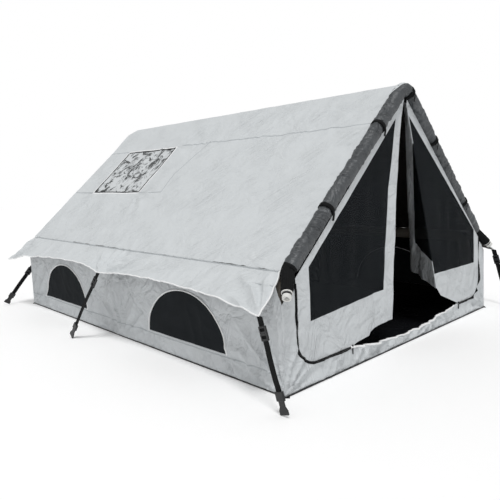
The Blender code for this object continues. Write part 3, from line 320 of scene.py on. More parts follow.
# %% Plastics and metal
def moulded(name, colour, shade, roughness, grain, depth, **extra):
    """A moulded or cast part: even colour, with a grain of a real size in metres."""
    material, tree, output = new_material(name)
    place = add(tree, "ShaderNodeTexCoord").outputs["Object"]
    speck = add(tree, "ShaderNodeTexNoise", {
        "Vector": place, "Scale": 1 / grain, "Detail": 4, "Roughness": 0.6,
    })
    wear = add(tree, "ShaderNodeTexNoise", {"Vector": place, "Scale": 0.1 / grain, "Detail": 2})
    tone = add(tree, "ShaderNodeMix", {
        "Factor": wear.outputs["Fac"], "A": linear(colour), "B": linear(shade),
    }, data_type="RGBA")
    gloss = add(tree, "ShaderNodeMapRange", {
        "Value": wear.outputs["Fac"], "To Min": roughness - 0.05, "To Max": roughness + 0.05,
    })
    bump = add(tree, "ShaderNodeBump", {
        "Height": speck.outputs["Fac"], "Strength": 0.3, "Distance": depth,
    })
    part = add(tree, "ShaderNodeBsdfPrincipled", {
        "Base Color": tone.outputs["Result"], "Roughness": gloss.outputs[0],
        "Normal": bump.outputs[0], **extra,
    })
    tree.links.new(part.outputs[0], output.inputs["Surface"])
    return material


BEAM = moulded("air_beam_film", "B8B0A4", "7F786F", 0.42, 0.02, 0.0015)
NYLON = moulded("white_moulded_nylon", "E6E6E3", "DCDCD8", 0.36, 0.0012, 0.0001)
RUBBER = moulded("black_valve_seal", "1A1A1B", "121213", 0.6, 0.001, 0.0001)
ACETAL = moulded("black_acetal_buckle", "1D1E20", "141516", 0.38, 0.0009, 0.0001)
BAR = moulded("polished_acetal_bar", "2A2B2D", "1E1F20", 0.16, 0.002, 0.00002)
ZINC = moulded("lacquered_zinc_slider", "4A4B4D", "3A3B3C", 0.32, 0.001, 0.0001, Metallic=1.0)
ZIP_TOOTH = moulded("black_nylon_zip_teeth", "17181A", "0E0F10", 0.4, 0.0008, 0.00005)
THREAD = moulded("pale_sewing_thread", "D9DCDD", "C9CDCF", 0.7, 0.0006, 0.0001)
print("materials", len(bpy.data.materials))

# %% [markdown]
# ## Floor and light
#
# A white floor keeps the tent's soft shadow, and reaches white by a little glow that
# only the camera, gloss and clear film see, so that it adds no light to the tent. One
# broad soft sun from the front left gives the folds their shading, and an even white
# world fills the rest.

# %% The floor, the world and one soft lamp
FLOOR_REACH = 30.0
FLOOR_DROP = 0.0005
FLOOR_GLOW = 0.10
FLOOR_WHITE = "FAFAFA"
WORLD_FILL = 0.52
SUN_STRENGTH = 1.5
SUN_SPREAD = math.radians(14)
SUN_ANGLES = (math.radians(20), 0, math.radians(-40))

floor_material, floor_tree, floor_output = new_material("white_studio_floor")
ray = add(floor_tree, "ShaderNodeLightPath")
seen = add(floor_tree, "ShaderNodeMath", {
    0: ray.outputs["Is Camera Ray"], 1: ray.outputs["Is Glossy Ray"],
}, operation="MAXIMUM")
seen = add(floor_tree, "ShaderNodeMath", {
    0: seen.outputs[0], 1: ray.outputs["Is Transmission Ray"],
}, operation="MAXIMUM")
glow = add(floor_tree, "ShaderNodeMath", {0: seen.outputs[0], 1: FLOOR_GLOW}, operation="MULTIPLY")
paint = add(floor_tree, "ShaderNodeBsdfDiffuse", {"Color": linear(FLOOR_WHITE)})
light = add(floor_tree, "ShaderNodeEmission", {"Strength": glow.outputs[0]})
both = add(floor_tree, "ShaderNodeAddShader", {0: paint.outputs[0], 1: light.outputs[0]})
floor_tree.links.new(both.outputs[0], floor_output.inputs["Surface"])

floor_mesh = bpy.data.meshes.new("studio_floor")
floor_mesh.from_pydata([
    (-FLOOR_REACH, -FLOOR_REACH, -FLOOR_DROP), (FLOOR_REACH, -FLOOR_REACH, -FLOOR_DROP),
    (FLOOR_REACH, FLOOR_REACH, -FLOOR_DROP), (-FLOOR_REACH, FLOOR_REACH, -FLOOR_DROP),
], [], [(0, 1, 2, 3)])
floor_mesh.materials.append(floor_material)
studio_floor = bpy.data.objects.new("studio_floor", floor_mesh)
bpy.context.scene.collection.objects.link(studio_floor)

world = bpy.data.worlds.new("studio")
bpy.context.scene.world = world
world.use_nodes = True
sky = world.node_tree
sky.nodes.clear()
sky_ray = add(sky, "ShaderNodeLightPath")
sky_seen = add(sky, "ShaderNodeMath", {
    0: sky_ray.outputs["Is Camera Ray"], 1: sky_ray.outputs["Is Transmission Ray"],
}, operation="MAXIMUM")
sky_strength = add(sky, "ShaderNodeMapRange", {
    "Value": sky_seen.outputs[0], "To Min": WORLD_FILL, "To Max": 1,
})
sky_light = add(sky, "ShaderNodeBackground", {
    "Color": (1, 1, 1, 1), "Strength": sky_strength.outputs[0],
})
add(sky, "ShaderNodeOutputWorld", {"Surface": sky_light.outputs[0]})

sun_data = bpy.data.lights.new("soft_sun", "SUN")
sun_data.energy = SUN_STRENGTH
sun_data.angle = SUN_SPREAD
sun = bpy.data.objects.new("soft_sun", sun_data)
sun.rotation_euler = SUN_ANGLES
bpy.context.scene.collection.objects.link(sun)
print("sun", SUN_STRENGTH, "and sky", WORLD_FILL)

# %% [markdown]
# ## Noise, creases and fans
#
# Cloth folds in three ways that matter here. It undulates slowly where it hangs, it
# keeps sharp creases where it was packed or is pulled along one line, and it fans out
# from any point that holds it, such as a strap tip or a corner. Each is one small
# function of the flat cloth coordinates. Blender's Displace modifier could do the
# first, but not aim creases, so the folds are worked out with numpy.

# %% Fold functions
def smooth(share):
    share = np.clip(share, 0, 1)
    return share * share * (3 - 2 * share)


def noise(x, y, seed=0):
    """Smooth repeatable noise, from -1 to 1, with features one unit apart."""
    x, y = np.asarray(x, float), np.asarray(y, float)
    left, low = np.floor(x), np.floor(y)

    def corner(i, j):
        value = np.sin(i * 127.1 + j * 311.7 + seed * 74.7) * 43758.5453
        return 2 * (value - np.floor(value)) - 1

    fx, fy = x - left, y - low
    fx = fx ** 3 * (fx * (fx * 6 - 15) + 10)
    fy = fy ** 3 * (fy * (fy * 6 - 15) + 10)
    bottom = corner(left, low) * (1 - fx) + corner(left + 1, low) * fx
    top = corner(left, low + 1) * (1 - fx) + corner(left + 1, low + 1) * fx
    return bottom * (1 - fy) + top * fy


def creases(x, y, pitch, stretch, heading, seed):
    """Sharp-crested folds, pitch apart and stretch times longer, along a heading in degrees."""
    turned = math.radians(heading)
    along = (x * math.cos(turned) + y * math.sin(turned)) / (pitch * stretch)
    across = (y * math.cos(turned) - x * math.sin(turned)) / pitch
    bend = 0.35 * noise(along * 1.7, across * 0.6, seed + 11)
    return 1 - 2 * np.abs(noise(along, across + bend, seed)) ** 0.8


def crumple(x, y, pitch, seed):
    """Creases in every direction, as in cloth that was packed."""
    total = 0
    for index, heading in enumerate((12, 58, 104, 149)):
        total = total + creases(x, y, pitch, 2.2, heading, seed + 7 * index)
    return total / 4


def fan(x, y, anchor, heading, spread, count, reach, seed):
    """Folds that run out from one held point; heading and spread are in degrees."""
    dx, dy = x - anchor[0], y - anchor[1]
    away = np.hypot(dx, dy)
    around = np.arctan2(dy, dx) - math.radians(heading)
    around = (around + math.pi) % (2 * math.pi) - math.pi
    around = around + 0.10 * noise(away * 7, around * 3, seed)
    share = around / math.radians(spread)
    wave = 1 - 2 * np.abs(np.sin(share * count * math.pi / 2)) ** 0.8
    fade = smooth(away / (0.22 * reach)) * (1 - smooth((away - 0.35 * reach) / (0.65 * reach)))
    return wave * fade * (1 - smooth(np.abs(share) * 2 - 1))


print("one crease", round(float(creases(np.array(0.3), 0.2, 0.05, 3, 90, 1)), 3))

# %% [markdown]
# ## Cutting cloth
#
# A sheet starts as a flat outline with its holes. The outline, and the lines where
# seams will lie, become fixed edges of a Delaunay mesh, and rows of staggered points
# fill the rest with even triangles that fold well in any direction. Blender's curve
# fill could cut the same outline, but its long thin triangles can't hold a fold.

# %% Flat outlines to fine meshes
FILL_ROW_SHARE = 0.87
RIM_CLEAR_SHARE = 0.5


def spaced(line, step, closed=True):
    """Points at a line's corners and about every step between them."""
    line = [np.array(point, float) for point in line]
    ends = zip(line, line[1:] + line[:1]) if closed else zip(line, line[1:])
    points = []
    for start, stop in ends:
        count = max(1, round(float(np.linalg.norm(stop - start)) / step))
        points += [start + (stop - start) * (index / count) for index in range(count)]
    return np.array(points if closed else points + [line[-1]])


def inside(points, loop):
    """True where a point lies inside a closed loop, by counting its crossings."""
    x, y = points[:, 0], points[:, 1]
    hit = np.zeros(len(points), bool)
    for (ax, ay), (bx, by) in zip(loop, np.roll(loop, -1, 0)):
        if ay != by:
            hit ^= ((ay > y) != (by > y)) & (x < ax + (y - ay) / (by - ay) * (bx - ax))
    return hit


def flat_area(loop):
    """Area of a closed loop, by the shoelace rule."""
    x, y = np.array(loop, float).T
    return abs(float(np.sum(x * np.roll(y, -1) - y * np.roll(x, -1)))) / 2


def fill_points(outer, holes, rims, step):
    """Staggered rows of points inside an outline, a little away from its rims."""
    low, high = outer.min(0), outer.max(0)
    grid = []
    for row, v in enumerate(np.arange(low[1] + step / 2, high[1], step * FILL_ROW_SHARE)):
        us = np.arange(low[0] + step / 4 + (row % 2) * step / 2, high[0], step)
        grid += [(u, v) for u in us]
    grid = np.array(grid)
    wanted = inside(grid, outer)
    for hole in holes:
        wanted &= ~inside(grid, hole)
    near = KDTree(len(rims))
    for index, point in enumerate(rims):
        near.insert((point[0], point[1], 0), index)
    near.balance()
    return [tuple(p) for p in grid[wanted] if near.find((*p, 0))[2] > step * RIM_CLEAR_SHARE]


def cut_cloth(name, loops, step, shape, finishes, areas=(), lines=()):
    """A sheet with the given outline and holes, laid out in 3D by shape(u, v)."""
    closed = [spaced(loop, step) for loop in [*loops, *areas]]
    points, edges = [], []
    for rim, ring in [(rim, 1) for rim in closed] + [(np.array(line), 0) for line in lines]:
        first, count = len(points), len(rim)
        points += [tuple(point) for point in rim]
        edges += [(first + i, first + (i + 1) % count) for i in range(count - 1 + ring)]
    outer, holes = closed[0], closed[1:len(loops)]
    points += fill_points(outer, holes, points, step)
    verts, _, faces, *_ = delaunay_2d_cdt([Vector(p) for p in points], edges, [], 0, 1e-6)
    flat = np.array([v[:] for v in verts])
    faces = np.array(faces)
    middle = flat[faces].mean(1)
    wanted = inside(middle, outer)
    for hole in holes:
        wanted &= ~inside(middle, hole)
    faces, middle = faces[wanted], middle[wanted]
    a, b, c = (flat[faces[:, i]] for i in range(3))
    turned = (b - a)[:, 0] * (c - a)[:, 1] - (b - a)[:, 1] * (c - a)[:, 0] < 0
    faces[turned] = faces[turned][:, ::-1]
    used, faces = np.unique(faces, return_inverse=True)
    flat, faces = flat[used], faces.reshape(-1, 3)
    zone = np.zeros(len(faces), np.int32)
    for index, area in enumerate(closed[len(loops):]):
        zone[inside(middle, area)] = index + 1
    return mesh_piece(name, shape(flat[:, 0], flat[:, 1]), faces, flat[faces.ravel()], finishes, zone)


def mesh_piece(name, verts, faces, uv, finishes, zone=None):
    """A smooth mesh object with a UV map in metres and its open edges kept sharp."""
    mesh = bpy.data.meshes.new(name)
    mesh.from_pydata(np.asarray(verts, float).tolist(), [], [list(map(int, f)) for f in faces])
    mesh.uv_layers.new(name="cut").data.foreach_set("uv", np.asarray(uv, float).ravel())
    for finish in finishes:
        mesh.materials.append(finish)
    if zone is not None:
        mesh.polygons.foreach_set("material_index", zone)
    mesh.polygons.foreach_set("use_smooth", np.ones(len(mesh.polygons), bool))
    border = np.zeros(len(mesh.loops), np.int32)
    mesh.loops.foreach_get("edge_index", border)
    sharp = mesh.attributes.new("sharp_edge", "BOOLEAN", "EDGE")
    sharp.data.foreach_set("value", np.bincount(border, minlength=len(mesh.edges)) == 1)
    mesh.update()
    piece = bpy.data.objects.new(name, mesh)
    bpy.context.scene.collection.objects.link(piece)
    return piece


def thicken(piece, thickness, inner=0):
    """Give a sheet its thickness inwards; inner is how many slots on the inner face's finish is."""
    wall = piece.modifiers.new("cloth", "SOLIDIFY")
    wall.thickness = thickness
    wall.offset = -1
    wall.material_offset = inner
    return piece


def plain(piece):
    """Turn a piece with modifiers into a plain mesh of the same name."""
    bpy.context.view_layer.update()
    view = bpy.context.evaluated_depsgraph_get()
    mesh = bpy.data.meshes.new_from_object(piece.evaluated_get(view))
    name = piece.name
    bpy.data.objects.remove(piece, do_unlink=True)
    mesh.name = name
    piece = bpy.data.objects.new(name, mesh)
    bpy.context.scene.collection.objects.link(piece)
    return piece


def settle(piece, body, slot, *nodes):
    """Let a finished piece ride on a body, in place of its CAD nodes; slot is not used."""
    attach(piece, body)
    if nodes:
        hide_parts(*nodes)
    print(piece.name, "on", body, "faces", len(getattr(piece.data, "polygons", ())))
    return piece


# %% [markdown]
# ## The shell's sizes
#
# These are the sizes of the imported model, in metres. The roof is two planes from the
# ridge to the eave lines; the fly ends at a seam just inside them, and the flap goes
# on from there at a flatter slope.

# %% Sizes that the pieces share
HALF_WIDTH, HALF_LENGTH = 1.5, 2.0
RIDGE_HEIGHT, EAVE_LINE_HEIGHT = 2.06, 0.69
SEAM_REACH = 1.405
SHEET = 0.003
CLEAR = 0.0003
CLOTH = 0.0014
ROOF_SLOPE = (RIDGE_HEIGHT - EAVE_LINE_HEIGHT) / HALF_WIDTH
ROOF_ANGLE = math.atan(ROOF_SLOPE)
COS_ROOF, SIN_ROOF = math.cos(ROOF_ANGLE), math.sin(ROOF_ANGLE)
SLEEVE_Y = -1.935
SLEEVE_RADIUS = 0.050
SLEEVE_DEPTH = 0.011
SLEEVE_END_REACH = 1.385
FLY_FRONT_Y = SLEEVE_Y + SLEEVE_RADIUS + CLEAR
FLY_REAR_Y = 2.035
MIDDLE_ARCH_Y, REAR_ARCH_Y = 0.0, 1.94


def roof_height(reach, depth=0.0):
    """Height of a line that lies depth under the roof's outer face."""
    return RIDGE_HEIGHT - ROOF_SLOPE * reach - depth / COS_ROOF


def plane_frame(origin, across, up):
    """A flat frame: X along across, Y along up, Z out of the plane."""
    across, up = Vector(across).normalized(), Vector(up).normalized()
    rotation = Matrix((across, up, across.cross(up))).transposed().to_4x4()
    return Matrix.Translation(origin) @ rotation


def laid(plane, u, v, off):
    """Points on a flat frame, each moved off it by its own distance."""
    place = np.array(plane)
    return (place[:3, 3] + np.multiply.outer(u, place[:3, 0])
            + np.multiply.outer(v, place[:3, 1]) + np.multiply.outer(off, place[:3, 2]))


print("half width and length", HALF_WIDTH, HALF_LENGTH)

# %% [markdown]
# ## Seams, bindings and stitches
#
# A felled seam is two cloth edges folded into each other and sewn flat, about 12 mm
# wide. It is a low band whose edges are fixed lines of the cloth below, so it follows
# every fold. Edges are bound with a folded tape, drawn as a slim tube. Stitches repeat,
# so Geometry Nodes place them along curves.

# %% Bands, edge tubes and stitches
SEAM_HALF = 0.006
SEAM_RISE = 0.0012
STITCH_PITCH = 0.009
STITCH_LENGTH = 0.0055
STITCH_RADIUS = 0.00055


def beside(line, gap):
    """A dense line moved sideways, to its left, by a gap."""
    line = np.array(line, float)
    heading = np.gradient(line, axis=0)
    heading /= np.linalg.norm(heading, axis=1)[:, None]
    return line + np.stack((-heading[:, 1], heading[:, 0]), 1) * gap


def band(name, lines, shape, half, rise, finish):
    """Low flat bands along dense lines of a cloth, with slanted edges."""
    verts, faces, uv = [], [], []
    for line in lines:
        rows = [(-half, 0.0), (-half * 0.8, rise), (half * 0.8, rise), (half, 0.0)]
        first, count = len(verts), len(line)
        far = np.concatenate(([0], np.cumsum(np.linalg.norm(np.diff(line, axis=0), axis=1))))
        for gap, lift in rows:
            edge = beside(line, gap)
            verts += list(shape(edge[:, 0], edge[:, 1], lift))
        for row in range(3):
            for i in range(count - 1):
                corner = first + row * count + i
                faces.append((corner, corner + 1, corner + count + 1, corner + count))
                for step, side in ((0, 0), (1, 0), (1, 1), (0, 1)):
                    uv.append((far[i + step], (row + side) * half))
    return mesh_piece(name, verts, faces, uv, [finish])


def swept(name, path, radii, sides, finishes, caps=True, flat=1.0):
    """A tube along a path; radii is one radius, one for each ring, or one for each point."""
    path = np.array([tuple(point) for point in path], float)
    tangent = np.gradient(path, axis=0)
    tangent /= np.linalg.norm(tangent, axis=1)[:, None]
    normal = np.cross(tangent[0], (0.0, 1.0, 0.0) if abs(tangent[0][1]) < 0.9 else (0.0, 0.0, 1.0))
    normals = []
    for heading in tangent:
        normal = normal - heading * float(np.dot(normal, heading))
        normal = normal / np.linalg.norm(normal)
        normals.append(normal)
    normals = np.array(normals)
    others = np.cross(tangent, normals) * flat
    around = np.linspace(0, 2 * math.pi, sides, endpoint=False)
    ring = (np.cos(around)[None, :, None] * normals[:, None, :]
            + np.sin(around)[None, :, None] * others[:, None, :])
    radii = np.asarray(radii, float)
    if radii.ndim == 1:
        radii = radii[:, None]
    size = np.broadcast_to(radii, (len(path), sides))
    verts = (path[:, None, :] + ring * size[..., None]).reshape(-1, 3)
    far = np.concatenate(([0], np.cumsum(np.linalg.norm(np.diff(path, axis=0), axis=1))))
    girth = 2 * math.pi * float(size.mean())
    faces, uv = [], []
    for i in range(len(path) - 1):
        for j in range(sides):
            after = (j + 1) % sides
            faces.append((i * sides + j, i * sides + after,
                          (i + 1) * sides + after, (i + 1) * sides + j))
            uv += [(far[i], girth * j / sides), (far[i], girth * (j + 1) / sides),
                   (far[i + 1], girth * (j + 1) / sides), (far[i + 1], girth * j / sides)]
    if caps:
        verts = np.vstack((verts, path[0], path[-1]))
        last = (len(path) - 1) * sides
        for j in range(sides):
            after = (j + 1) % sides
            faces += [(len(verts) - 2, after, j), (len(verts) - 1, last + j, last + after)]
            uv += [(0, 0), (0, girth / sides), (girth / sides, 0)] * 2
    piece = mesh_piece(name, verts, faces, uv, finishes)
    return piece


def evenly(path, step):
    """A path's points at equal distances."""
    path = np.array([tuple(point) for point in path], float)
    far = np.concatenate(([0], np.cumsum(np.linalg.norm(np.diff(path, axis=0), axis=1))))
    wanted = np.linspace(0, far[-1], max(2, round(far[-1] / step) + 1))
    return np.stack([np.interp(wanted, far, path[:, axis]) for axis in range(3)], 1)


def joined(name, parts):
    """Several plain mesh pieces of one body as one piece."""
    shape = bmesh.new()
    finishes = []
    for part in parts:
        mesh = part.data
        slots = []
        for finish in mesh.materials:
            if finish not in finishes:
                finishes.append(finish)
            slots.append(finishes.index(finish))
        for face in mesh.polygons:
            face.material_index = slots[face.material_index]
        shape.from_mesh(mesh)
    result = bpy.data.meshes.new(name)
    shape.to_mesh(result)
    shape.free()
    for finish in finishes:
        result.materials.append(finish)
    for part in parts:
        bpy.data.objects.remove(part, do_unlink=True)
    piece = bpy.data.objects.new(name, result)
    bpy.context.scene.collection.objects.link(piece)
    return piece


def repeat_along(name):
    """A Geometry Nodes tree that sets small rods along curves, with named sizes."""
    tree = bpy.data.node_groups.new(name, "GeometryNodeTree")
    tree.interface.new_socket("Geometry", in_out="INPUT", socket_type="NodeSocketGeometry")
    for label, kind in (("Pitch", "NodeSocketFloat"), ("Length", "NodeSocketFloat"),
                        ("Radius", "NodeSocketFloat"), ("Sides", "NodeSocketInt"),
                        ("Crosswise", "NodeSocketBool"), ("Finish", "NodeSocketMaterial")):
        tree.interface.new_socket(label, in_out="INPUT", socket_type=kind)
    tree.interface.new_socket("Geometry", in_out="OUTPUT", socket_type="NodeSocketGeometry")
    given = add(tree, "NodeGroupInput")
    marks = add(tree, "GeometryNodeResampleCurve", {
        "Curve": given.outputs["Geometry"], "Length": given.outputs["Pitch"],
    }, mode="LENGTH")
    rod = add(tree, "GeometryNodeMeshCylinder", {
        "Vertices": given.outputs["Sides"], "Radius": given.outputs["Radius"],
        "Depth": given.outputs["Length"],
    })
    heading = add(tree, "GeometryNodeInputTangent")
    facing = add(tree, "GeometryNodeInputNormal")
    way = add(tree, "GeometryNodeSwitch", {
        "Switch": given.outputs["Crosswise"], "False": heading.outputs[0],
        "True": facing.outputs[0],
    }, input_type="VECTOR")
    aim = add(tree, "FunctionNodeAlignRotationToVector", {"Vector": way.outputs[0]}, axis="Z")
    rods = add(tree, "GeometryNodeInstanceOnPoints", {
        "Points": marks.outputs[0], "Instance": rod.outputs["Mesh"],
        "Rotation": aim.outputs[0],
    })
    real = add(tree, "GeometryNodeRealizeInstances", {"Geometry": rods.outputs[0]})
    painted = add(tree, "GeometryNodeSetMaterial", {
        "Geometry": real.outputs[0], "Material": given.outputs["Finish"],
    })
    add(tree, "NodeGroupOutput", {"Geometry": painted.outputs[0]})
    return tree


ROD_ROWS = repeat_along("rod_rows")


def rod_rows(name, rows, pitch, length, radius, finish, sides=5, crosswise=False):
    """Rods along several rows of points as one plain mesh: stitches, or zip teeth."""
    curve = bpy.data.curves.new(name, "CURVE")
    curve.dimensions = "3D"
    for row in rows:
        spline = curve.splines.new("POLY")
        spline.points.add(len(row) - 1)
        for point, place in zip(spline.points, row):
            point.co = (*place, 1)
    piece = bpy.data.objects.new(name, curve)
    bpy.context.scene.collection.objects.link(piece)
    change = piece.modifiers.new("rows", "NODES")
    change.node_group = ROD_ROWS
    sizes = {"Pitch": pitch, "Length": length, "Radius": radius, "Sides": sides,
             "Crosswise": crosswise, "Finish": finish}
    for socket in ROD_ROWS.interface.items_tree:
        if socket.in_out == "INPUT" and socket.name in sizes:
            change[socket.identifier] = sizes[socket.name]
    return plain(piece)


def stitches(name, rows, finish=THREAD):
    return rod_rows(name, rows, STITCH_PITCH, STITCH_LENGTH, STITCH_RADIUS, finish)


print("seam", 2 * SEAM_HALF, "m wide")

# %% [markdown]
# ## The fly
#
# One continuous sheet runs from eave seam to eave seam over the ridge, where it
# rounds the ridge beam. It could be two flat panels, but then the ridge would be a
# knife edge. It sags a little between the arches, is gathered along the front edge,
# and shows long streaks where the ridge seam pulls.

# %% The fly's surface
RIDGE_ROUND = 0.018
RIDGE_SAVING = RIDGE_ROUND * (ROOF_SLOPE - ROOF_ANGLE)
FLY_STEP = 0.020
FLY_DOWN = SEAM_REACH / COS_ROOF - RIDGE_SAVING
UPPER_SEAM = 0.345 / COS_ROOF - RIDGE_SAVING
SKYLIGHT = (0.61, 1.57, 0.481 - RIDGE_SAVING, 1.165 - RIDGE_SAVING)
FLY_HOLD = 0.0012


def beam_hold(y, down):
    """1 where an air beam lies close under the fly, 0 in the open bays."""
    nearest = np.minimum(np.abs(y - MIDDLE_ARCH_Y), np.abs(y - REAR_ARCH_Y))
    across = 1 - smooth((nearest - 0.05) / 0.12)
    eave = smooth((down - 1.62) / 0.12)
    ridge = 1 - smooth((down - 0.05) / 0.10)
    return np.maximum(across, np.maximum(eave, ridge))


def fly_folds(y, down, side):
    """Height of the fly's folds over its plane; side is -1 on the left."""
    seed = 20 + side
    bay = np.where(y < MIDDLE_ARCH_Y, (y - FLY_FRONT_Y) / (MIDDLE_ARCH_Y - FLY_FRONT_Y),
                   (y - MIDDLE_ARCH_Y) / (REAR_ARCH_Y - MIDDLE_ARCH_Y))
    open_cloth = smooth(down / 0.5) * smooth((FLY_DOWN - down) / 0.45)
    off = -0.010 * np.sin(math.pi * np.clip(bay, 0, 1)) * open_cloth
    off = off + 0.0045 * noise(y / 0.5, down / 0.45, seed)
    off = off + 0.0030 * noise(y / 0.17, down / 0.2, seed + 1)
    off = off + 0.0042 * crumple(y, down, 0.11, seed + 2)
    streak_zone = smooth((down - 0.08) / 0.1) * (1 - smooth((down - 0.42) / 0.35))
    streak_zone = streak_zone * smooth((y + 1.75) / 0.2) * (1 - smooth((y - 0.75) / 0.3))
    off = off + 0.0090 * streak_zone * creases(y, down, 0.060, 7, 62, seed + 3)
    middle = np.exp(-((y + 0.55) / 0.45) ** 2 - ((down - 1.05) / 0.32) ** 2)
    off = off + 0.0105 * middle * creases(y, down, 0.085, 4, 35, seed + 4)
    front = 1 - smooth((y - FLY_FRONT_Y) / 0.30)
    off = off + 0.0075 * front * creases(y, down, 0.060, 5, 8, seed + 5)
    foot = smooth((down - (FLY_DOWN - 0.38)) / 0.38)
    off = off + 0.0065 * foot * creases(y, down, 0.06, 5, 84, seed + 6)
    if side < 0:
        for corner, heading in (((SKYLIGHT[0], SKYLIGHT[3]), 140), ((SKYLIGHT[1], SKYLIGHT[3]), 60),
                                ((SKYLIGHT[0], SKYLIGHT[2]), 215)):
            off = off + 0.0090 * fan(y, down, corner, heading, 75, 5, 0.55, seed + 7)
        below = np.exp(-((y - 0.95) / 0.5) ** 2 - ((down - 1.42) / 0.16) ** 2)
        off = off + 0.0085 * below * creases(y, down, 0.07, 4, 75, seed + 8)
    hold = beam_hold(y, down)
    return np.maximum(off, -FLY_HOLD - 0.03 * (1 - hold))


def fly_surface(y, v, lift=0.0):
    """The fly in 3D: v is the distance from the ridge line, positive to the left."""
    y, v = np.asarray(y, float), np.asarray(v, float)
    down, side = np.abs(v), np.where(v > 0, -1.0, 1.0)
    off = np.where(v > 0, fly_folds(y, down, -1), fly_folds(y, down, 1))
    even = smooth(down / 0.25)
    off = off * even + (1 - even) * np.maximum(0.0012 * noise(y / 0.1, 0, 5), -FLY_HOLD) + lift
    angle = np.minimum(down / RIDGE_ROUND, ROOF_ANGLE)
    straight = np.maximum(down - RIDGE_ROUND * ROOF_ANGLE, 0)
    centre = roof_height(0, RIDGE_ROUND)
    x = (RIDGE_ROUND + off) * np.sin(angle) + straight * COS_ROOF
    z = centre + (RIDGE_ROUND + off) * np.cos(angle) - straight * SIN_ROOF
    return np.stack((side * x, y, z), 1)


print("fly from ridge to eave", round(FLY_DOWN, 3), "m")

# %% Cut the fly, with its skylight hole and seams
FLY_RIDGE_INSET, FLY_CHAMFER = 0.13, 0.10
SKY_SEAM = ((-0.866, FLY_REAR_Y), (-0.866, 0.19), (-0.68, 0.214), (-0.328, 0.038))


def sky_loop(inset=0.0):
    low, high, top, foot = SKYLIGHT
    return [(low + inset, top + inset), (high - inset, top + inset),
            (high - inset, foot - inset), (low + inset, foot - inset)]


def fly_line(points):
    """A dense seam line on the fly from (y, v) points."""
    return spaced(points, FLY_STEP, False)


fly_outline = [
    (FLY_FRONT_Y, -FLY_DOWN), (FLY_REAR_Y, -FLY_DOWN), (FLY_REAR_Y, -FLY_CHAMFER),
    (FLY_REAR_Y - FLY_RIDGE_INSET, 0), (FLY_REAR_Y, FLY_CHAMFER), (FLY_REAR_Y, FLY_DOWN),
    (FLY_FRONT_Y, FLY_DOWN),
]
fly_seams = [fly_line([(FLY_FRONT_Y + 0.01, v), (FLY_REAR_Y - 0.01, v)])
             for v in (-UPPER_SEAM, UPPER_SEAM)]
sky_seam_line = [(y, -x / COS_ROOF - RIDGE_SAVING) for x, y in SKY_SEAM]
sky_seam_line[0] = (FLY_REAR_Y - 0.01, sky_seam_line[0][1])
fly_seams.append(fly_line(sky_seam_line))
seam_edges = [beside(line, gap) for line in fly_seams for gap in (-SEAM_HALF, SEAM_HALF)]
fly = cut_cloth("fly", [fly_outline, sky_loop()], FLY_STEP, fly_surface, [FLY, FLY_INSIDE_SHADE],
                lines=seam_edges)
thicken(fly, CLOTH, 1)
settle(fly, "tent", "fly", "roof_panel_left", "roof_panel_right")
FLY_AREA = flat_area(fly_outline) - flat_area(sky_loop())
print("fly area", round(FLY_AREA, 2), "m2")

# %% The fly's seams, its bound front edge and their stitches
fly_bands = band("fly_seams", fly_seams, fly_surface, SEAM_HALF, SEAM_RISE, SEAM_SHADE)
settle(fly_bands, "tent", "fly")
front_edge = spaced([(FLY_FRONT_Y, FLY_DOWN), (FLY_FRONT_Y, -FLY_DOWN)], FLY_STEP, False)
rear_edge = spaced([(FLY_REAR_Y, FLY_DOWN), (FLY_REAR_Y, FLY_CHAMFER),
                    (FLY_REAR_Y - FLY_RIDGE_INSET, 0), (FLY_REAR_Y, -FLY_CHAMFER),
                    (FLY_REAR_Y, -FLY_DOWN)], FLY_STEP, False)
for edge_name, edge in (("fly_front_binding", front_edge), ("fly_rear_binding", rear_edge)):
    tube = swept(edge_name, fly_surface(edge[:, 0], edge[:, 1], -CLOTH / 2), 0.0032, 8, [BINDING])
    settle(tube, "tent", "fly")
fly_rows = [fly_surface(*beside(line, gap).T, SEAM_RISE)
            for line in fly_seams for gap in (-SEAM_HALF * 0.6, SEAM_HALF * 0.6)]
settle(stitches("fly_stitches", fly_rows), "tent", "fly")

# %% [markdown]
# ## The eave flaps
#
# Each flap is a separate strip, sewn on at the eave seam, with a scalloped edge that
# is flat between the straps and steep near them. The straps pull at three tips, and
# the cloth fans out from each. The curve of the edge and the lift of the tips repeat
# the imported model's.

# %% The flap's surface
FLAP_RUN, FLAP_DROP = 0.305, roof_height(SEAM_REACH) - 0.558
FLAP_LENGTH = math.hypot(FLAP_RUN, FLAP_DROP)
FLAP_ANGLE = math.atan2(FLAP_DROP, FLAP_RUN)
FLAP_START, FLAP_TIP_WIDTH, FLAP_FLAT_STRIP = 0.0008, 0.05, 0.06
FLAP_SCALLOPS = (0.070, 0.105)
FLAP_SCALLOP_POWER = 2.6
FLAP_TIP_LENGTHS = (0.369, 0.339, 0.382)
FLAP_TIP_LIFTS = (0.009, 0.057, -0.009)
FLAP_FOLD_PITCH, FLAP_FOLD_HEIGHT = 0.27, 0.006
TIP_STATIONS = (-1.995, -0.055, 2.10)
FLAP_STEP = 0.011


def flap_frame(side):
    origin = (side * SEAM_REACH, 0, roof_height(SEAM_REACH, SHEET / 2))
    down = (side * math.cos(FLAP_ANGLE), 0, -math.sin(FLAP_ANGLE))
    return plane_frame(origin, (0, -side, 0), down)


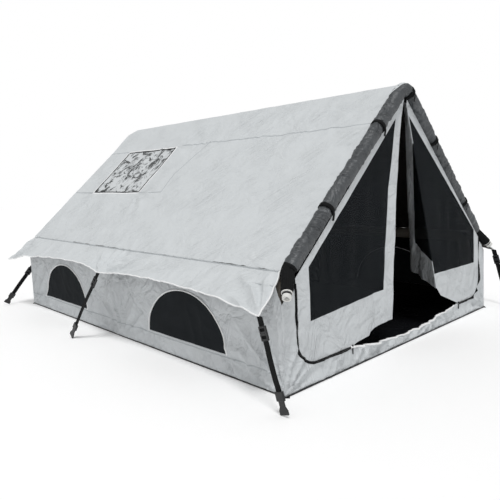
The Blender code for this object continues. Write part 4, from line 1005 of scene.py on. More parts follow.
def flap_lift(y, down):
    """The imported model's lift: the tips stand off, and slow folds lie between them."""
    front, middle, rear = TIP_STATIONS
    first = smooth((y - front) / (middle - front))
    second = smooth((y - middle) / (rear - middle))
    ends = FLAP_TIP_LIFTS
    tips = np.where(y <= middle, ends[0] + (ends[1] - ends[0]) * first,
                    ends[1] + (ends[2] - ends[1]) * second)
    nearest = np.min([np.abs(y - station) for station in TIP_STATIONS], axis=0)
    near = 1 - smooth((nearest - FLAP_TIP_WIDTH) / (2 * FLAP_FOLD_PITCH))
    wave = FLAP_FOLD_HEIGHT * np.sin(2 * math.pi * y / FLAP_FOLD_PITCH)
    share = np.maximum(0, (down - FLAP_FLAT_STRIP) / (FLAP_LENGTH - FLAP_FLAT_STRIP))
    return share * (tips + wave * (1 - near))


def flap_folds(y, down, side):
    """Folds on top of the lift: fans from the strap tips, and short upright ones."""
    seed = 40 + side
    off = 0
    tips = ((0, 0.0190, -62, 85, 7), (1, 0.0200, -90, 120, 9), (2, 0.0160, -118, 85, 7))
    for station, height, heading, spread, count in tips:
        anchor = (TIP_STATIONS[station], FLAP_TIP_LENGTHS[station])
        off = off + height * fan(y, down, anchor, heading, spread, count, 0.62, seed + station)
    hung = smooth(down / 0.12)
    off = off + 0.0045 * hung * creases(y, down, 0.05, 5, 86, seed + 5)
    off = off + 0.0042 * hung * noise(y / 0.22, down / 0.3, seed + 6)
    off = off + 0.0050 * hung * crumple(y, down, 0.07, seed + 7)
    tip = np.min([np.hypot(y - s, down - l) for s, l in zip(TIP_STATIONS, FLAP_TIP_LENGTHS)], axis=0)
    return off * smooth((tip - 0.03) / 0.08) * smooth(down / 0.05)


def flap_surface(side):
    plane = flap_frame(side)

    def surface(u, v, lift=0.0):
        y = -side * np.asarray(u)
        off = flap_lift(y, v) + flap_folds(y, v, side) + SHEET / 2 + lift
        return laid(plane, u, v, off)
    return surface


def scallop_bay(bay, steps):
    """The edge between two strap tips: flat in the middle and steep near the tips."""
    first = TIP_STATIONS[bay] + FLAP_TIP_WIDTH / 2
    last = TIP_STATIONS[bay + 1] - FLAP_TIP_WIDTH / 2
    length, growth = FLAP_TIP_LENGTHS[bay], FLAP_TIP_LENGTHS[bay + 1] - FLAP_TIP_LENGTHS[bay]
    points = []
    for share in np.linspace(0, 1, steps + 1):
        rise = FLAP_SCALLOPS[bay] * (1 - abs(2 * share - 1) ** FLAP_SCALLOP_POWER)
        points.append((first + (last - first) * share, length + growth * share - rise))
    return points


print("flap tips at", TIP_STATIONS)

# %% Cut both flaps, with bound edges and an eave seam
flap_edge = [(TIP_STATIONS[0], FLAP_TIP_LENGTHS[0])] + scallop_bay(0, 24) + scallop_bay(1, 24)
flap_edge += [(TIP_STATIONS[2], FLAP_TIP_LENGTHS[2])]
flap_outline = [(FLY_FRONT_Y, FLAP_START)] + flap_edge + [(FLY_REAR_Y, FLAP_START)]
FLAP_AREA = flat_area(flap_outline)
for side, side_name in ((-1, "left"), (1, "right")):
    surface = flap_surface(side)
    outline = [(-side * y, v) for y, v in flap_outline]
    flap = cut_cloth("eave_flap_cloth_" + side_name, [outline], FLAP_STEP, surface,
                     [FLY, FLY_INSIDE_SHADE])
    thicken(flap, CLOTH, 1)
    settle(flap, "tent", "fly", "eave_flap_" + side_name)
    edge = spaced(outline, FLAP_STEP, False)
    tube = swept("flap_binding_" + side_name, surface(edge[:, 0], edge[:, 1], -CLOTH / 2),
                 0.0052, 8, [BINDING])
    settle(tube, "tent", "fly")
    seam = spaced([(-side * (FLY_FRONT_Y + 0.01), 0.006), (-side * (FLY_REAR_Y - 0.01), 0.006)],
                  FLAP_STEP, False)
    settle(band("eave_seam_" + side_name, [seam], surface, 0.0045, 0.0030, SEAM_SHADE), "tent", "fly")
    rows = [surface(seam[:, 0], seam[:, 1] + gap, 0.0036) for gap in (-0.004, 0.004)]
    settle(stitches("eave_stitches_" + side_name, rows), "tent", "fly")
print("flap area", round(FLAP_AREA, 3), "m2")

# %% [markdown]
# ## The skylight
#
# A pane of clear film fills the hole. Film creases in sharp facets and keeps them, so
# its folds are the same crumple as the cloth's, but larger, and they die out at the
# sewn rim, where a dark tape and a pale one frame it.

# %% Cut the skylight pane and its frame
SKY_STEP = 0.011


def pane_surface(y, v, lift=0.0):
    low, high, top, foot = SKYLIGHT
    rim = np.minimum(np.minimum(y - low, high - y), np.minimum(v - top, foot - v))
    free = smooth(rim / 0.07)
    off = 0.0110 * crumple(y, v, 0.13, 61) + 0.0080 * creases(y, v, 0.10, 4, 72, 62)
    off = off + 0.0050 * crumple(y, v, 0.06, 63) - 0.006
    return fly_surface(y, v, lift - 0.0012 + off * free)


pane = cut_cloth("skylight_film", [sky_loop(CLEAR)], SKY_STEP, pane_surface, [FILM])
thicken(pane, 0.0006)
settle(pane, "tent", "clear", "skylight_pane")
for frame_name, inset, half, finish, rise in (
    ("skylight_dark_tape", 0.004, 0.007, ZIP_TAPE, 0.0016),
    ("skylight_pale_tape", -0.014, 0.008, BINDING, 0.0014),
):
    ring = spaced(sky_loop(inset), FLY_STEP, True)
    ring = np.vstack((ring, ring[:1]))
    settle(band(frame_name, [ring], fly_surface, half, rise, finish), "tent", "fly")
print("skylight", [round(edge, 3) for edge in SKYLIGHT])

# %% [markdown]
# ## Side walls and windows
#
# A wall is one panel from the floor to just under the flap, with two half-dome
# windows. It is sewn to the floor in a straight line, and the corner pegs and the
# middle peg pull fans of folds out of it. The mesh in each window belongs to the same
# folded surface, so wall and mesh meet all round.

# %% The wall's surface
WINDOW_CENTRES = (-0.96, 1.10)
WINDOW_HALF_WIDTH, WINDOW_HEIGHT, WINDOW_SILL = 0.48, 0.39, 0.15
FLOOR_TOP = 0.0043
WALL_TOP, WALL_CORNER = 0.70, 0.585
GABLE_FOOT_Y = -1.993
GABLE_LEAN = math.radians(1.6)
WALL_STEP = 0.012
SKIRT = 0.13


def wall_folds(y, z, side):
    seed = 80 + side
    off = 0.0150 * fan(y, z, (-1.99, 0.0), 42, 60, 6, 0.85, seed)
    off = off + 0.0150 * fan(y, z, (2.0, 0.0), 138, 60, 6, 0.85, seed + 1)
    off = off + 0.0150 * fan(y, z, (-0.05, 0.0), 90, 110, 8, 0.62, seed + 2)
    off = off + 0.0100 * fan(y, z, (-0.05, 0.70), -90, 110, 6, 0.55, seed + 3)
    off = off + 0.0060 * noise(y / 0.35, z / 0.4, seed + 4)
    off = off + 0.0050 * crumple(y, z, 0.09, seed + 5)
    low = 1 - smooth((z - 0.05) / (SKIRT - 0.02))
    off = off + 0.0110 * low * creases(y, z, 0.055, 2.0, 70, seed + 6)
    off = off + 0.0080 * low * crumple(y, z, 0.045, seed + 7)
    for centre in WINDOW_CENTRES:
        for end in (-1, 1):
            corner = (centre + end * WINDOW_HALF_WIDTH, WINDOW_SILL)
            off = off + 0.0085 * fan(y, z, corner, -90 + end * 40, 80, 5, 0.35, seed + 8 + end)
    sewn = smooth(z / 0.035) * smooth((y + 1.992) / 0.03) * smooth((1.999 - y) / 0.03)
    kink = 0.016 * np.exp(-((y + 0.05) / 0.16) ** 2) * smooth(z / 0.03) * (1 - smooth((z - 0.08) / 0.3))
    return off * sewn + kink


def wall_surface(side, bulge=None):
    plane = plane_frame((side * HALF_WIDTH, 0, 0), (0, side, 0), (0, 0, 1))

    def surface(u, v, lift=0.0):
        y = side * np.asarray(u)
        off = wall_folds(y, v, side) * 0.9 - 0.002 + lift
        if bulge is not None:
            off = off + bulge(y, v)
        return laid(plane, u, v, off)
    return surface


def half_dome(centre, inset=0.0, steps=40):
    """A window outline: a straight sill and an elliptic top."""
    around = np.linspace(0, math.pi, steps + 1)
    half = WINDOW_HALF_WIDTH - inset
    high = WINDOW_HEIGHT - 2 * inset
    return [(centre + half * math.cos(a), WINDOW_SILL + inset + high * math.sin(a))
            for a in around]


def window_bulge(centre):
    """The mesh hangs a few millimetres slack in the middle of its window."""
    def bulge(y, z):
        across = 1 - ((y - centre) / WINDOW_HALF_WIDTH) ** 2
        up = smooth((z - WINDOW_SILL) / 0.1)
        slack = smooth(across) * up * smooth((WINDOW_SILL + WINDOW_HEIGHT - z) / 0.12)
        return slack * (-0.006 + 0.003 * creases(y, z, 0.16, 4, 80, 90))
    return bulge


print("windows at", WINDOW_CENTRES)

# %% Cut walls, window meshes and their piping
def gable_y(height):
    return GABLE_FOOT_Y + height * math.tan(GABLE_LEAN)


wall_outline = [
    (gable_y(0), FLOOR_TOP), (HALF_LENGTH - 0.001, FLOOR_TOP), (HALF_LENGTH - 0.001, WALL_TOP),
    (gable_y(WALL_CORNER) + 0.053, WALL_TOP), (gable_y(WALL_CORNER), WALL_CORNER),
]
WALL_AREA = flat_area(wall_outline) - 2 * flat_area(half_dome(0))
WINDOW_AREA = flat_area(half_dome(0))
for side, side_name in ((-1, "left"), (1, "right")):
    surface = wall_surface(side)

    def flipped(points):
        return [(side * y, z) for y, z in points]

    domes = [flipped(half_dome(centre)) for centre in WINDOW_CENTRES]
    skirt = spaced(flipped([(gable_y(0) + 0.02, SKIRT), (HALF_LENGTH - 0.02, SKIRT)]),
                   WALL_STEP, False)
    # The wall's inner face takes the near-black painted shade
    wall = cut_cloth("wall_cloth_" + side_name, [flipped(wall_outline), *domes], WALL_STEP,
                     surface, [WALL, WALL_INSIDE_SHADE],
                     lines=[beside(skirt, -0.005), beside(skirt, 0.005)])
    thicken(wall, CLOTH, 1)
    settle(wall, "tent", "wall", "wall_" + side_name)
    settle(band("skirt_seam_" + side_name, [skirt], surface, 0.005, 0.001, SEAM_SHADE), "tent", "wall")
    settle(stitches("skirt_stitches_" + side_name, [surface(skirt[:, 0], skirt[:, 1], 0.001)]),
           "tent", "wall")
    for place, centre in zip(("front", "rear"), WINDOW_CENTRES):
        net_surface = wall_surface(side, window_bulge(centre))
        net = cut_cloth(f"window_net_{side_name}_{place}", [flipped(half_dome(centre, CLEAR))],
                        WALL_STEP, net_surface, [WINDOW_NET_SHADE])
        thicken(net, 0.0008)
        settle(net, "tent", "mesh", f"window_mesh_{side_name}_{place}")
        arch = spaced(flipped(half_dome(centre, -0.004)), WALL_STEP, False)
        tube = swept(f"window_piping_{side_name}_{place}", surface(arch[:, 0], arch[:, 1], 0.002),
                     0.0065, 8, [BINDING])
        settle(tube, "tent", "wall")
        sill = spaced(flipped([(centre - WINDOW_HALF_WIDTH, WINDOW_SILL - 0.004),
                               (centre + WINDOW_HALF_WIDTH, WINDOW_SILL - 0.004)]),
                      WALL_STEP, False)
        settle(band(f"window_sill_{side_name}_{place}", [sill], surface, 0.006, 0.002, WALL),
               "tent", "wall")
print("wall area", round(WALL_AREA, 3), "window area", round(WINDOW_AREA, 3), "m2")

# %% [markdown]
# ## The rear gable
#
# A plain house-shaped panel closes the back. It hangs from the fly and is sewn to the
# floor, with the same corner fans as the walls.

# %% Cut the rear gable
INSIDE_WALL = HALF_WIDTH - SHEET - CLEAR
REAR_STEP = 0.016


def rear_surface(u, v, lift=0.0):
    off = 0.0065 * fan(u, v, (-1.49, 0.0), 45, 60, 6, 0.9, 101)
    off = off + 0.0065 * fan(u, v, (1.49, 0.0), 135, 60, 6, 0.9, 102)
    off = off + 0.0040 * fan(u, v, (0.0, 2.02), -90, 60, 7, 1.0, 103)
    off = off + 0.0050 * noise(u / 0.5, v / 0.6, 104) + 0.0015 * crumple(u, v, 0.12, 105)
    off = off + 0.0020 * creases(u, v, 0.08, 6, 84, 106) * (1 - smooth((v - 0.2) / 0.6))
    edge = np.minimum(smooth(v / 0.04), smooth((roof_height(np.abs(u), 0.004) - v) / 0.04))
    off = np.maximum(off * edge * smooth((INSIDE_WALL - np.abs(u)) / 0.03), -0.001)
    plane = plane_frame((0, HALF_LENGTH - 0.001, 0), (-1, 0, 0), (0, 0, 1))
    return laid(plane, u, v, off + lift)


rear_outline = [
    (-INSIDE_WALL, FLOOR_TOP), (INSIDE_WALL, FLOOR_TOP),
    (INSIDE_WALL, roof_height(INSIDE_WALL, 0.0036)), (0, roof_height(0, 0.0036) - 0.018),
    (-INSIDE_WALL, roof_height(INSIDE_WALL, 0.0036)),
]
# The gable's inner face takes the near-black painted shade
rear = cut_cloth("rear_gable_cloth", [rear_outline], REAR_STEP, rear_surface, [WALL, WALL_INSIDE_SHADE])
thicken(rear, CLOTH, 1)
settle(rear, "tent", "wall", "gable_rear")
REAR_AREA = flat_area(rear_outline)
print("rear gable", round(REAR_AREA, 3), "m2")

# %% [markdown]
# ## The groundsheet
#
# The floor is one sheet of coated polyethylene. It lies flat on the ground with low
# creases, and a short tab at each corner takes a peg. Its creases only stand up, since
# the ground is hard. A slim welt runs round its edge, where the walls are sewn on.

# %% Cut the groundsheet
FLOOR_STEP = 0.018
TAB_WIDTH, TAB_LENGTH = 0.05, 0.03
WELT_RADIUS, WELT_HEIGHT, WELT_WAVE = 0.0050, 0.0055, 0.0010


def floor_surface(u, v, lift=0.0):
    rise = np.maximum(0, 0.006 * crumple(u, v, 0.30, 121) + 0.004 * creases(u, v, 0.22, 5, 30, 122)
                      + 0.003 * crumple(u, v, 0.10, 123) - 0.001)
    inner = smooth((HALF_WIDTH - 0.02 - np.abs(u)) / 0.06)
    inner = inner * smooth((HALF_LENGTH - 0.02 - np.abs(v)) / 0.06)
    return np.stack((u, v, 0.0035 + rise * inner + lift + 0 * u), 1)


tab, reach = TAB_WIDTH * math.sqrt(0.5), TAB_LENGTH * math.sqrt(0.5)
corner_points = [
    (HALF_WIDTH, HALF_LENGTH - tab), (HALF_WIDTH + reach, HALF_LENGTH - tab + reach),
    (HALF_WIDTH - tab + reach, HALF_LENGTH + reach), (HALF_WIDTH - tab, HALF_LENGTH),
]
left_rear = [(-x, y) for x, y in reversed(corner_points)]
floor_outline = corner_points + left_rear
floor_outline += [(-x, -y) for x, y in corner_points] + [(-x, -y) for x, y in left_rear]
ground = cut_cloth("floor_sheet", [floor_outline], FLOOR_STEP, floor_surface, [GROUNDSHEET])
thicken(ground, 0.0030)
settle(ground, "tent", "floor", "groundsheet")
welt_line = spaced([(-HALF_WIDTH, -HALF_LENGTH), (HALF_WIDTH, -HALF_LENGTH),
                    (HALF_WIDTH, HALF_LENGTH), (-HALF_WIDTH, HALF_LENGTH)], 0.05, True)
welt = np.vstack((welt_line, welt_line[:1]))
welt = np.column_stack((welt, WELT_HEIGHT + WELT_WAVE * noise(welt[:, 0] / 0.2, welt[:, 1] / 0.2, 124)))
settle(swept("floor_welt", welt, WELT_RADIUS, 8, [GROUNDSHEET]), "tent", "floor")
FLOOR_AREA = flat_area(floor_outline)
print("floor area", round(FLOOR_AREA, 2), "m2")

# %% [markdown]
# ## Air beams
#
# Each beam is a welded tube of film, blown hard. It wrinkles across the inside of a
# bend and carries a flat weld along its length. A ring-by-ring tube shows both; a
# bevelled curve would be round everywhere.

# %% Beam paths and skins
BEAM_RADIUS, RIDGE_BEAM_RADIUS = 0.055, 0.050
ROOF_INNER = SHEET + CLEAR
ARCH_BEND = 0.13


def rounded_path(corners, radius, steps):
    """Straight runs between corner points, with each inner corner turned on an arc."""
    points = [Vector(corners[0])]
    for before, corner, after in zip(corners, corners[1:], corners[2:]):
        corner = Vector(corner)
        back = (Vector(before) - corner).normalized()
        onward = (Vector(after) - corner).normalized()
        half = back.angle(onward) / 2
        centre = corner + (back + onward).normalized() * (radius / math.sin(half))
        first = corner + back * (radius / math.tan(half)) - centre
        last = corner + onward * (radius / math.tan(half)) - centre
        for index in range(steps + 1):
            points.append(centre + first.slerp(last, index / steps).normalized() * radius)
    points.append(Vector(corners[-1]))
    return points


def air_beam(name, corners, radius, seed, node, bend=ARCH_BEND):
    """A blown tube with domed ends, a weld line and wrinkles at its bends."""
    path = evenly(rounded_path(corners, bend, 10), 0.02)
    count, sides = len(path), 28
    around = np.linspace(0, 2 * math.pi, sides, endpoint=False)
    heading = np.gradient(path, axis=0)
    heading /= np.linalg.norm(heading, axis=1)[:, None]
    bending = np.linalg.norm(np.gradient(heading, axis=0), axis=1) / 0.02
    bending = np.convolve(bending, np.ones(5) / 5, "same") * bend
    far = np.arange(count) * 0.02
    wrinkle = creases(far[:, None] + 0 * around, np.sin(around)[None, :] * 0.05 + 0 * far[:, None],
                      0.035, 1.4, 90, seed)
    weld = np.exp(-((around - math.pi) / 0.10) ** 2)
    radii = radius - 0.0002 - 0.0022 * np.clip(bending, 0, 1)[:, None] * (1 - wrinkle) / 2
    radii = radii - 0.0008 * weld[None, :]
    ends = np.minimum(np.arange(count), np.arange(count)[::-1]) * 0.02
    dome = np.sqrt(np.clip(1 - (1 - np.clip(ends / 0.03, 0, 1)) ** 2, 0.25, 1))
    piece = swept(name, path, radii * dome[:, None], sides, [BEAM])
    return settle(piece, "tent", "beam", node)


def leg_foot(run, rise):
    return FLOOR_TOP + CLEAR + BEAM_RADIUS * run / math.hypot(run, rise)


arch_depth = ROOF_INNER + BEAM_RADIUS
arch_eave = roof_height(1.38, arch_depth)
arch_foot = leg_foot(0.05, arch_eave) + 0.012
for beam_name, y in (("middle_arch", MIDDLE_ARCH_Y), ("rear_arch", REAR_ARCH_Y)):
    air_beam(beam_name + "_tube", [
        (-1.43, y, arch_foot), (-1.38, y, arch_eave), (0, y, roof_height(0, arch_depth)),
        (1.38, y, arch_eave), (1.43, y, arch_foot),
    ], BEAM_RADIUS, 141, beam_name + "_beam")
ridge_centre = roof_height(0, ROOF_INNER + RIDGE_BEAM_RADIUS)
bay_end = REAR_ARCH_Y - BEAM_RADIUS - CLEAR
bay_start = MIDDLE_ARCH_Y + BEAM_RADIUS + CLEAR
air_beam("ridge_tube_front", [(0, FLY_FRONT_Y, ridge_centre), (0, -bay_start, ridge_centre)],
         RIDGE_BEAM_RADIUS, 142, "ridge_beam_front")
air_beam("ridge_tube_rear", [(0, bay_start, ridge_centre), (0, bay_end, ridge_centre)],
         RIDGE_BEAM_RADIUS, 143, "ridge_beam_rear")
side_height = roof_height(1.37, arch_depth)
for side, side_name in ((-1, "left"), (1, "right")):
    corner_y = FLY_FRONT_Y + BEAM_RADIUS
    foot = leg_foot(math.hypot(0.06, 0.03), side_height) + 0.012
    air_beam("side_tube_front_" + side_name, [
        (side * 1.37, -bay_start, side_height), (side * 1.37, corner_y, side_height),
        (side * 1.43, corner_y - 0.03, foot),
    ], BEAM_RADIUS, 144, "side_beam_front_" + side_name)
    air_beam("side_tube_rear_" + side_name, [
        (side * 1.37, bay_start, side_height), (side * 1.37, bay_end, side_height),
    ], BEAM_RADIUS, 145, "side_beam_rear_" + side_name)
print("beams", sum("_tube" in beam.name for beam in bpy.data.objects))

# %% [markdown]
# ## The front arch
#
# The front beam lies in a dark sleeve, which the fly's front edge is sewn to. The
# sleeve is looser than the beam, so it wrinkles across, tightens under its black tie
# bands, and is gathered at each end over the beam's neck, where the valve sits.

# %% The sleeve over the front beam
SLEEVE_BEND = 0.10
NECK_OUT, NECK_FORWARD, NECK_DROP = 0.095, 0.075, 0.112
NECK_RADIUS = 0.034
SLEEVE_SIDES = 44
SLEEVE_STEP = 0.007
TIE_REACHES = (-0.99, -0.365, 0.06, 0.45, 1.045)
GATHER_LENGTH = 0.075


def knee(side):
    return Vector((side * SLEEVE_END_REACH, SLEEVE_Y, roof_height(SLEEVE_END_REACH, SLEEVE_DEPTH)))


def neck_end(side):
    """Where the neck ends and the valve begins."""
    return knee(side) + Vector((side * NECK_OUT, -NECK_FORWARD, -NECK_DROP))


sleeve_corners = [knee(-1), (0, SLEEVE_Y, roof_height(0, SLEEVE_DEPTH)), knee(1)]
crown = rounded_path(sleeve_corners, SLEEVE_BEND, 12)
sleeve_path = evenly([neck_end(-1), *crown, neck_end(1)], SLEEVE_STEP)
sleeve_far = np.arange(len(sleeve_path)) * SLEEVE_STEP
sleeve_ends = np.minimum(sleeve_far, sleeve_far[::-1])
neck_length = (neck_end(1) - knee(1)).length
around = np.linspace(0, 2 * math.pi, SLEEVE_SIDES, endpoint=False)
past_knee = smooth((sleeve_ends - neck_length + 0.015) / GATHER_LENGTH)[:, None]
body_far = sleeve_far[:, None] + 0 * around[None, :]
body_round = around[None, :] * SLEEVE_RADIUS + 0 * sleeve_far[:, None]
loose = 0.0036 * creases(body_far, body_round, 0.030, 2.6, 90, 161)
loose = loose + 0.0030 * noise(body_far / 0.09, np.cos(around)[None, :] * 1.5, 162)
loose = loose + 0.0036 * creases(body_far, body_round, 0.05, 2.2, 70, 163)
gathered = 0.0026 * np.cos(around * 11 + 2.2 * noise(body_far * 12, 0, 164))
gathered = gathered + 0.0014 * noise(body_far / 0.012, around[None, :] * 3, 165)
neck_skin = NECK_RADIUS + 0.0042 + 0.004 * smooth((sleeve_ends - 0.02) / neck_length)[:, None]
sleeve_radii = past_knee * (SLEEVE_RADIUS + loose) + (1 - past_knee) * (neck_skin + gathered)
hem = smooth(sleeve_ends / 0.012)[:, None]
sleeve_radii = hem * sleeve_radii + (1 - hem) * (NECK_RADIUS + 0.0035)
for tie in TIE_REACHES:
    squeeze = np.exp(-((sleeve_path[:, 0] - tie) / 0.020) ** 2)[:, None]
    sleeve_radii = sleeve_radii - 0.0045 * squeeze
sleeve = swept("arch_sleeve", sleeve_path, sleeve_radii, SLEEVE_SIDES, [SLEEVE, GATHER], caps=False)
gather_from = neck_length + 0.03
ring_of = np.arange(len(sleeve.data.polygons)) // SLEEVE_SIDES
black = (sleeve_ends[np.minimum(ring_of, len(sleeve_ends) - 1)] < gather_from).astype(np.int32)
sleeve.data.polygons.foreach_set("material_index", black)
thicken(sleeve, 0.0012)
settle(sleeve, "tent", "sleeve", "front_arch_sleeve")
SLEEVE_LENGTH = float(sleeve_far[-1])
print("sleeve length", round(SLEEVE_LENGTH, 3), "m")

# %% The beam inside the sleeve, and the sleeve's tie bands
bladder_path = evenly([neck_end(-1), *crown, neck_end(1)], 0.02)
bladder_far = np.arange(len(bladder_path)) * 0.02
bladder_ends = np.minimum(bladder_far, bladder_far[::-1])
bladder_radii = NECK_RADIUS - 0.004 + 0.009 * smooth((bladder_ends - neck_length) / 0.05)
settle(swept("front_air_beam", bladder_path, bladder_radii, 24, [BEAM]), "tent", "beam",
       "front_arch_beam")


TIE_HALF, TIE_INSIDE, TIE_OUTSIDE = 0.014, 0.0480, 0.0570


def on_sleeve(reach):
    """The sleeve's centre and heading at a signed distance from the middle."""
    index = int(np.argmin(np.abs(sleeve_path[:, 0] - reach)))
    heading = Vector(sleeve_path[index + 1] - sleeve_path[index - 1]).normalized()
    return Vector(sleeve_path[index]), heading


def tie_band(name, reach):
    """A flat black band round the sleeve, with a short tail in front."""
    centre, heading = on_sleeve(reach)
    out = Vector((0, -1, 0))
    up = heading.cross(out).normalized()
    if up.z < 0:
        up = -up
    verts, faces, uv = [], [], []
    sides = 40
    corners = ((-TIE_HALF, TIE_INSIDE), (-TIE_HALF, TIE_OUTSIDE),
               (TIE_HALF, TIE_OUTSIDE), (TIE_HALF, TIE_INSIDE))
    for index in range(sides):
        angle = 2 * math.pi * index / sides
        spoke = out * math.cos(angle) + up * math.sin(angle)
        for half, radius in corners:
            verts.append(centre + heading * half + spoke * radius)
    for index in range(sides):
        for k in range(4):
            a, b = index * 4 + k, index * 4 + (k + 1) % 4
            c, d = (index + 1) % sides * 4 + (k + 1) % 4, (index + 1) % sides * 4 + k
            faces.append((a, b, c, d) if up.cross(out).dot(heading) > 0 else (d, c, b, a))
            uv += [(0, k * 0.01), (0, k * 0.01 + 0.01), (0.008, k * 0.01 + 0.01), (0.008, k * 0.01)]
    ring = mesh_piece(name, verts, faces, uv, [WEBBING])
    tail_start = centre + out * 0.053
    points = [tail_start + up * 0.012, tail_start + out * 0.004,
              tail_start + out * 0.010 - Vector((0, 0, 0.030)),
              tail_start + out * 0.002 - Vector((0, 0, 0.075))]
    tail = swept(name + "_tail", evenly(points, 0.004), 0.0100, 10, [WEBBING], flat=0.25)
    return joined(name, [ring, tail])


for index, reach in enumerate(TIE_REACHES):
    settle(tie_band(f"sleeve_tie_{index + 1}", reach), "tent", "sleeve")
print("tie bands", len(TIE_REACHES))

# %% [markdown]
# ## The cap over the sleeve's top
#
# Where the two arms of the sleeve meet, a small piece of fly cloth is sewn over it. It is
# part of a tube a little wider than the sleeve. Each ring of the sleeve's path carries one
# row of points on its upper rear side, and the rows grow shorter towards the cap's ends.

# %% Lay the cap on the sleeve
CAP_REACH, CAP_GAP, CAP_CREASE, CAP_TAPER = 0.13, 0.0045, 0.0025, 0.55
cap_rings = [i for i, spot in enumerate(sleeve_path) if abs(spot[0]) < CAP_REACH]
cap_turns = np.linspace(math.radians(-15), math.radians(125), 22)
cap_verts, cap_faces, cap_uv = [], [], []
for ring in cap_rings:
    centre = Vector(sleeve_path[ring])
    heading = Vector(sleeve_path[ring + 1] - sleeve_path[ring - 1])
    top = Vector((0, 1, 0)).cross(heading).normalized()
    top = top if top.z > 0 else -top
    crease = float(creases(np.array(centre.x), 0.0, 0.02, 3, 90, 91))
    far = SLEEVE_RADIUS + CAP_GAP + CAP_CREASE * crease
    edge = 1 - (centre.x / CAP_REACH) ** 2
    for turn in cap_turns * (1 - CAP_TAPER + CAP_TAPER * edge):
        cap_verts.append(centre + (Vector((0, 1, 0)) * math.cos(turn) + top * math.sin(turn)) * far)
columns = len(cap_turns)
for row in range(len(cap_rings) - 1):
    for column in range(columns - 1):
        first = row * columns + column
        cap_faces.append((first, first + 1, first + columns + 1, first + columns))
        cap_uv += [((row + dr) * SLEEVE_STEP, (column + dc) * 0.006)
                   for dr, dc in ((0, 0), (0, 1), (1, 1), (1, 0))]
cap = mesh_piece("apex_cap", cap_verts, cap_faces, cap_uv, [FLY])
settle(thicken(cap, CLOTH), "tent", "fly")

# %% [markdown]
# ## Valves
#
# Each valve is moulded nylon: a flange welded to the neck, a black seal, a ring with
# fine grip ribs, and a mouth with a sprung plunger. A profile turned about the axis
# gives every ring, and the ribs are rods set round it.

# %% Turn the valves
VALVE_FLANGE_RADIUS, VALVE_BODY_RADIUS = 0.036, 0.029
VALVE_LENGTH, VALVE_FLANGE = 0.050, 0.008
VALVE_MOUTH_RADIUS, VALVE_MOUTH_DEPTH = 0.017, 0.013
VALVE_GUIDE_RADIUS, PLUNGER_CLEAR = 0.0100, 0.0004
PLUNGER_START, PLUNGER_LENGTH = 0.0135, 0.022


def turned(name, profile, sides, finish, place):
    """A closed turned solid. Its (r, z) profile starts and ends on the axis, or is a ring's."""
    verts, faces, uv = [], [], []
    rings = []
    for r, z in profile:
        if rings and (r, z) == profile[0]:
            rings.append(rings[0])
            continue
        if r == 0:
            rings.append([len(verts)] * sides)
            verts.append(place @ Vector((0, 0, z)))
            continue
        rings.append(list(range(len(verts), len(verts) + sides)))
        for index in range(sides):
            angle = 2 * math.pi * index / sides
            verts.append(place @ Vector((r * math.cos(angle), r * math.sin(angle), z)))
    for low, high in zip(rings, rings[1:]):
        for j in range(sides):
            after = (j + 1) % sides
            face = [low[j], low[after], high[after], high[j]]
            face = [v for i, v in enumerate(face) if v not in face[:i]]
            faces.append(face)
            uv += [(0.001 * j, 0.001 * i) for i in range(len(face))]
    piece = mesh_piece(name, [tuple(v) for v in verts], [], [], [finish])
    piece.data.clear_geometry()
    piece.data.from_pydata([tuple(v) for v in verts], [], faces)
    shape = bmesh.new()
    shape.from_mesh(piece.data)
    bmesh.ops.recalc_face_normals(shape, faces=shape.faces)
    shape.to_mesh(piece.data)
    shape.free()
    edge = piece.modifiers.new("soft_edges", "BEVEL")
    edge.width = 0.0006
    edge.segments = 2
    edge.limit_method = "ANGLE"
    edge.angle_limit = math.radians(35)
    piece.data.shade_smooth()
    return plain(piece)


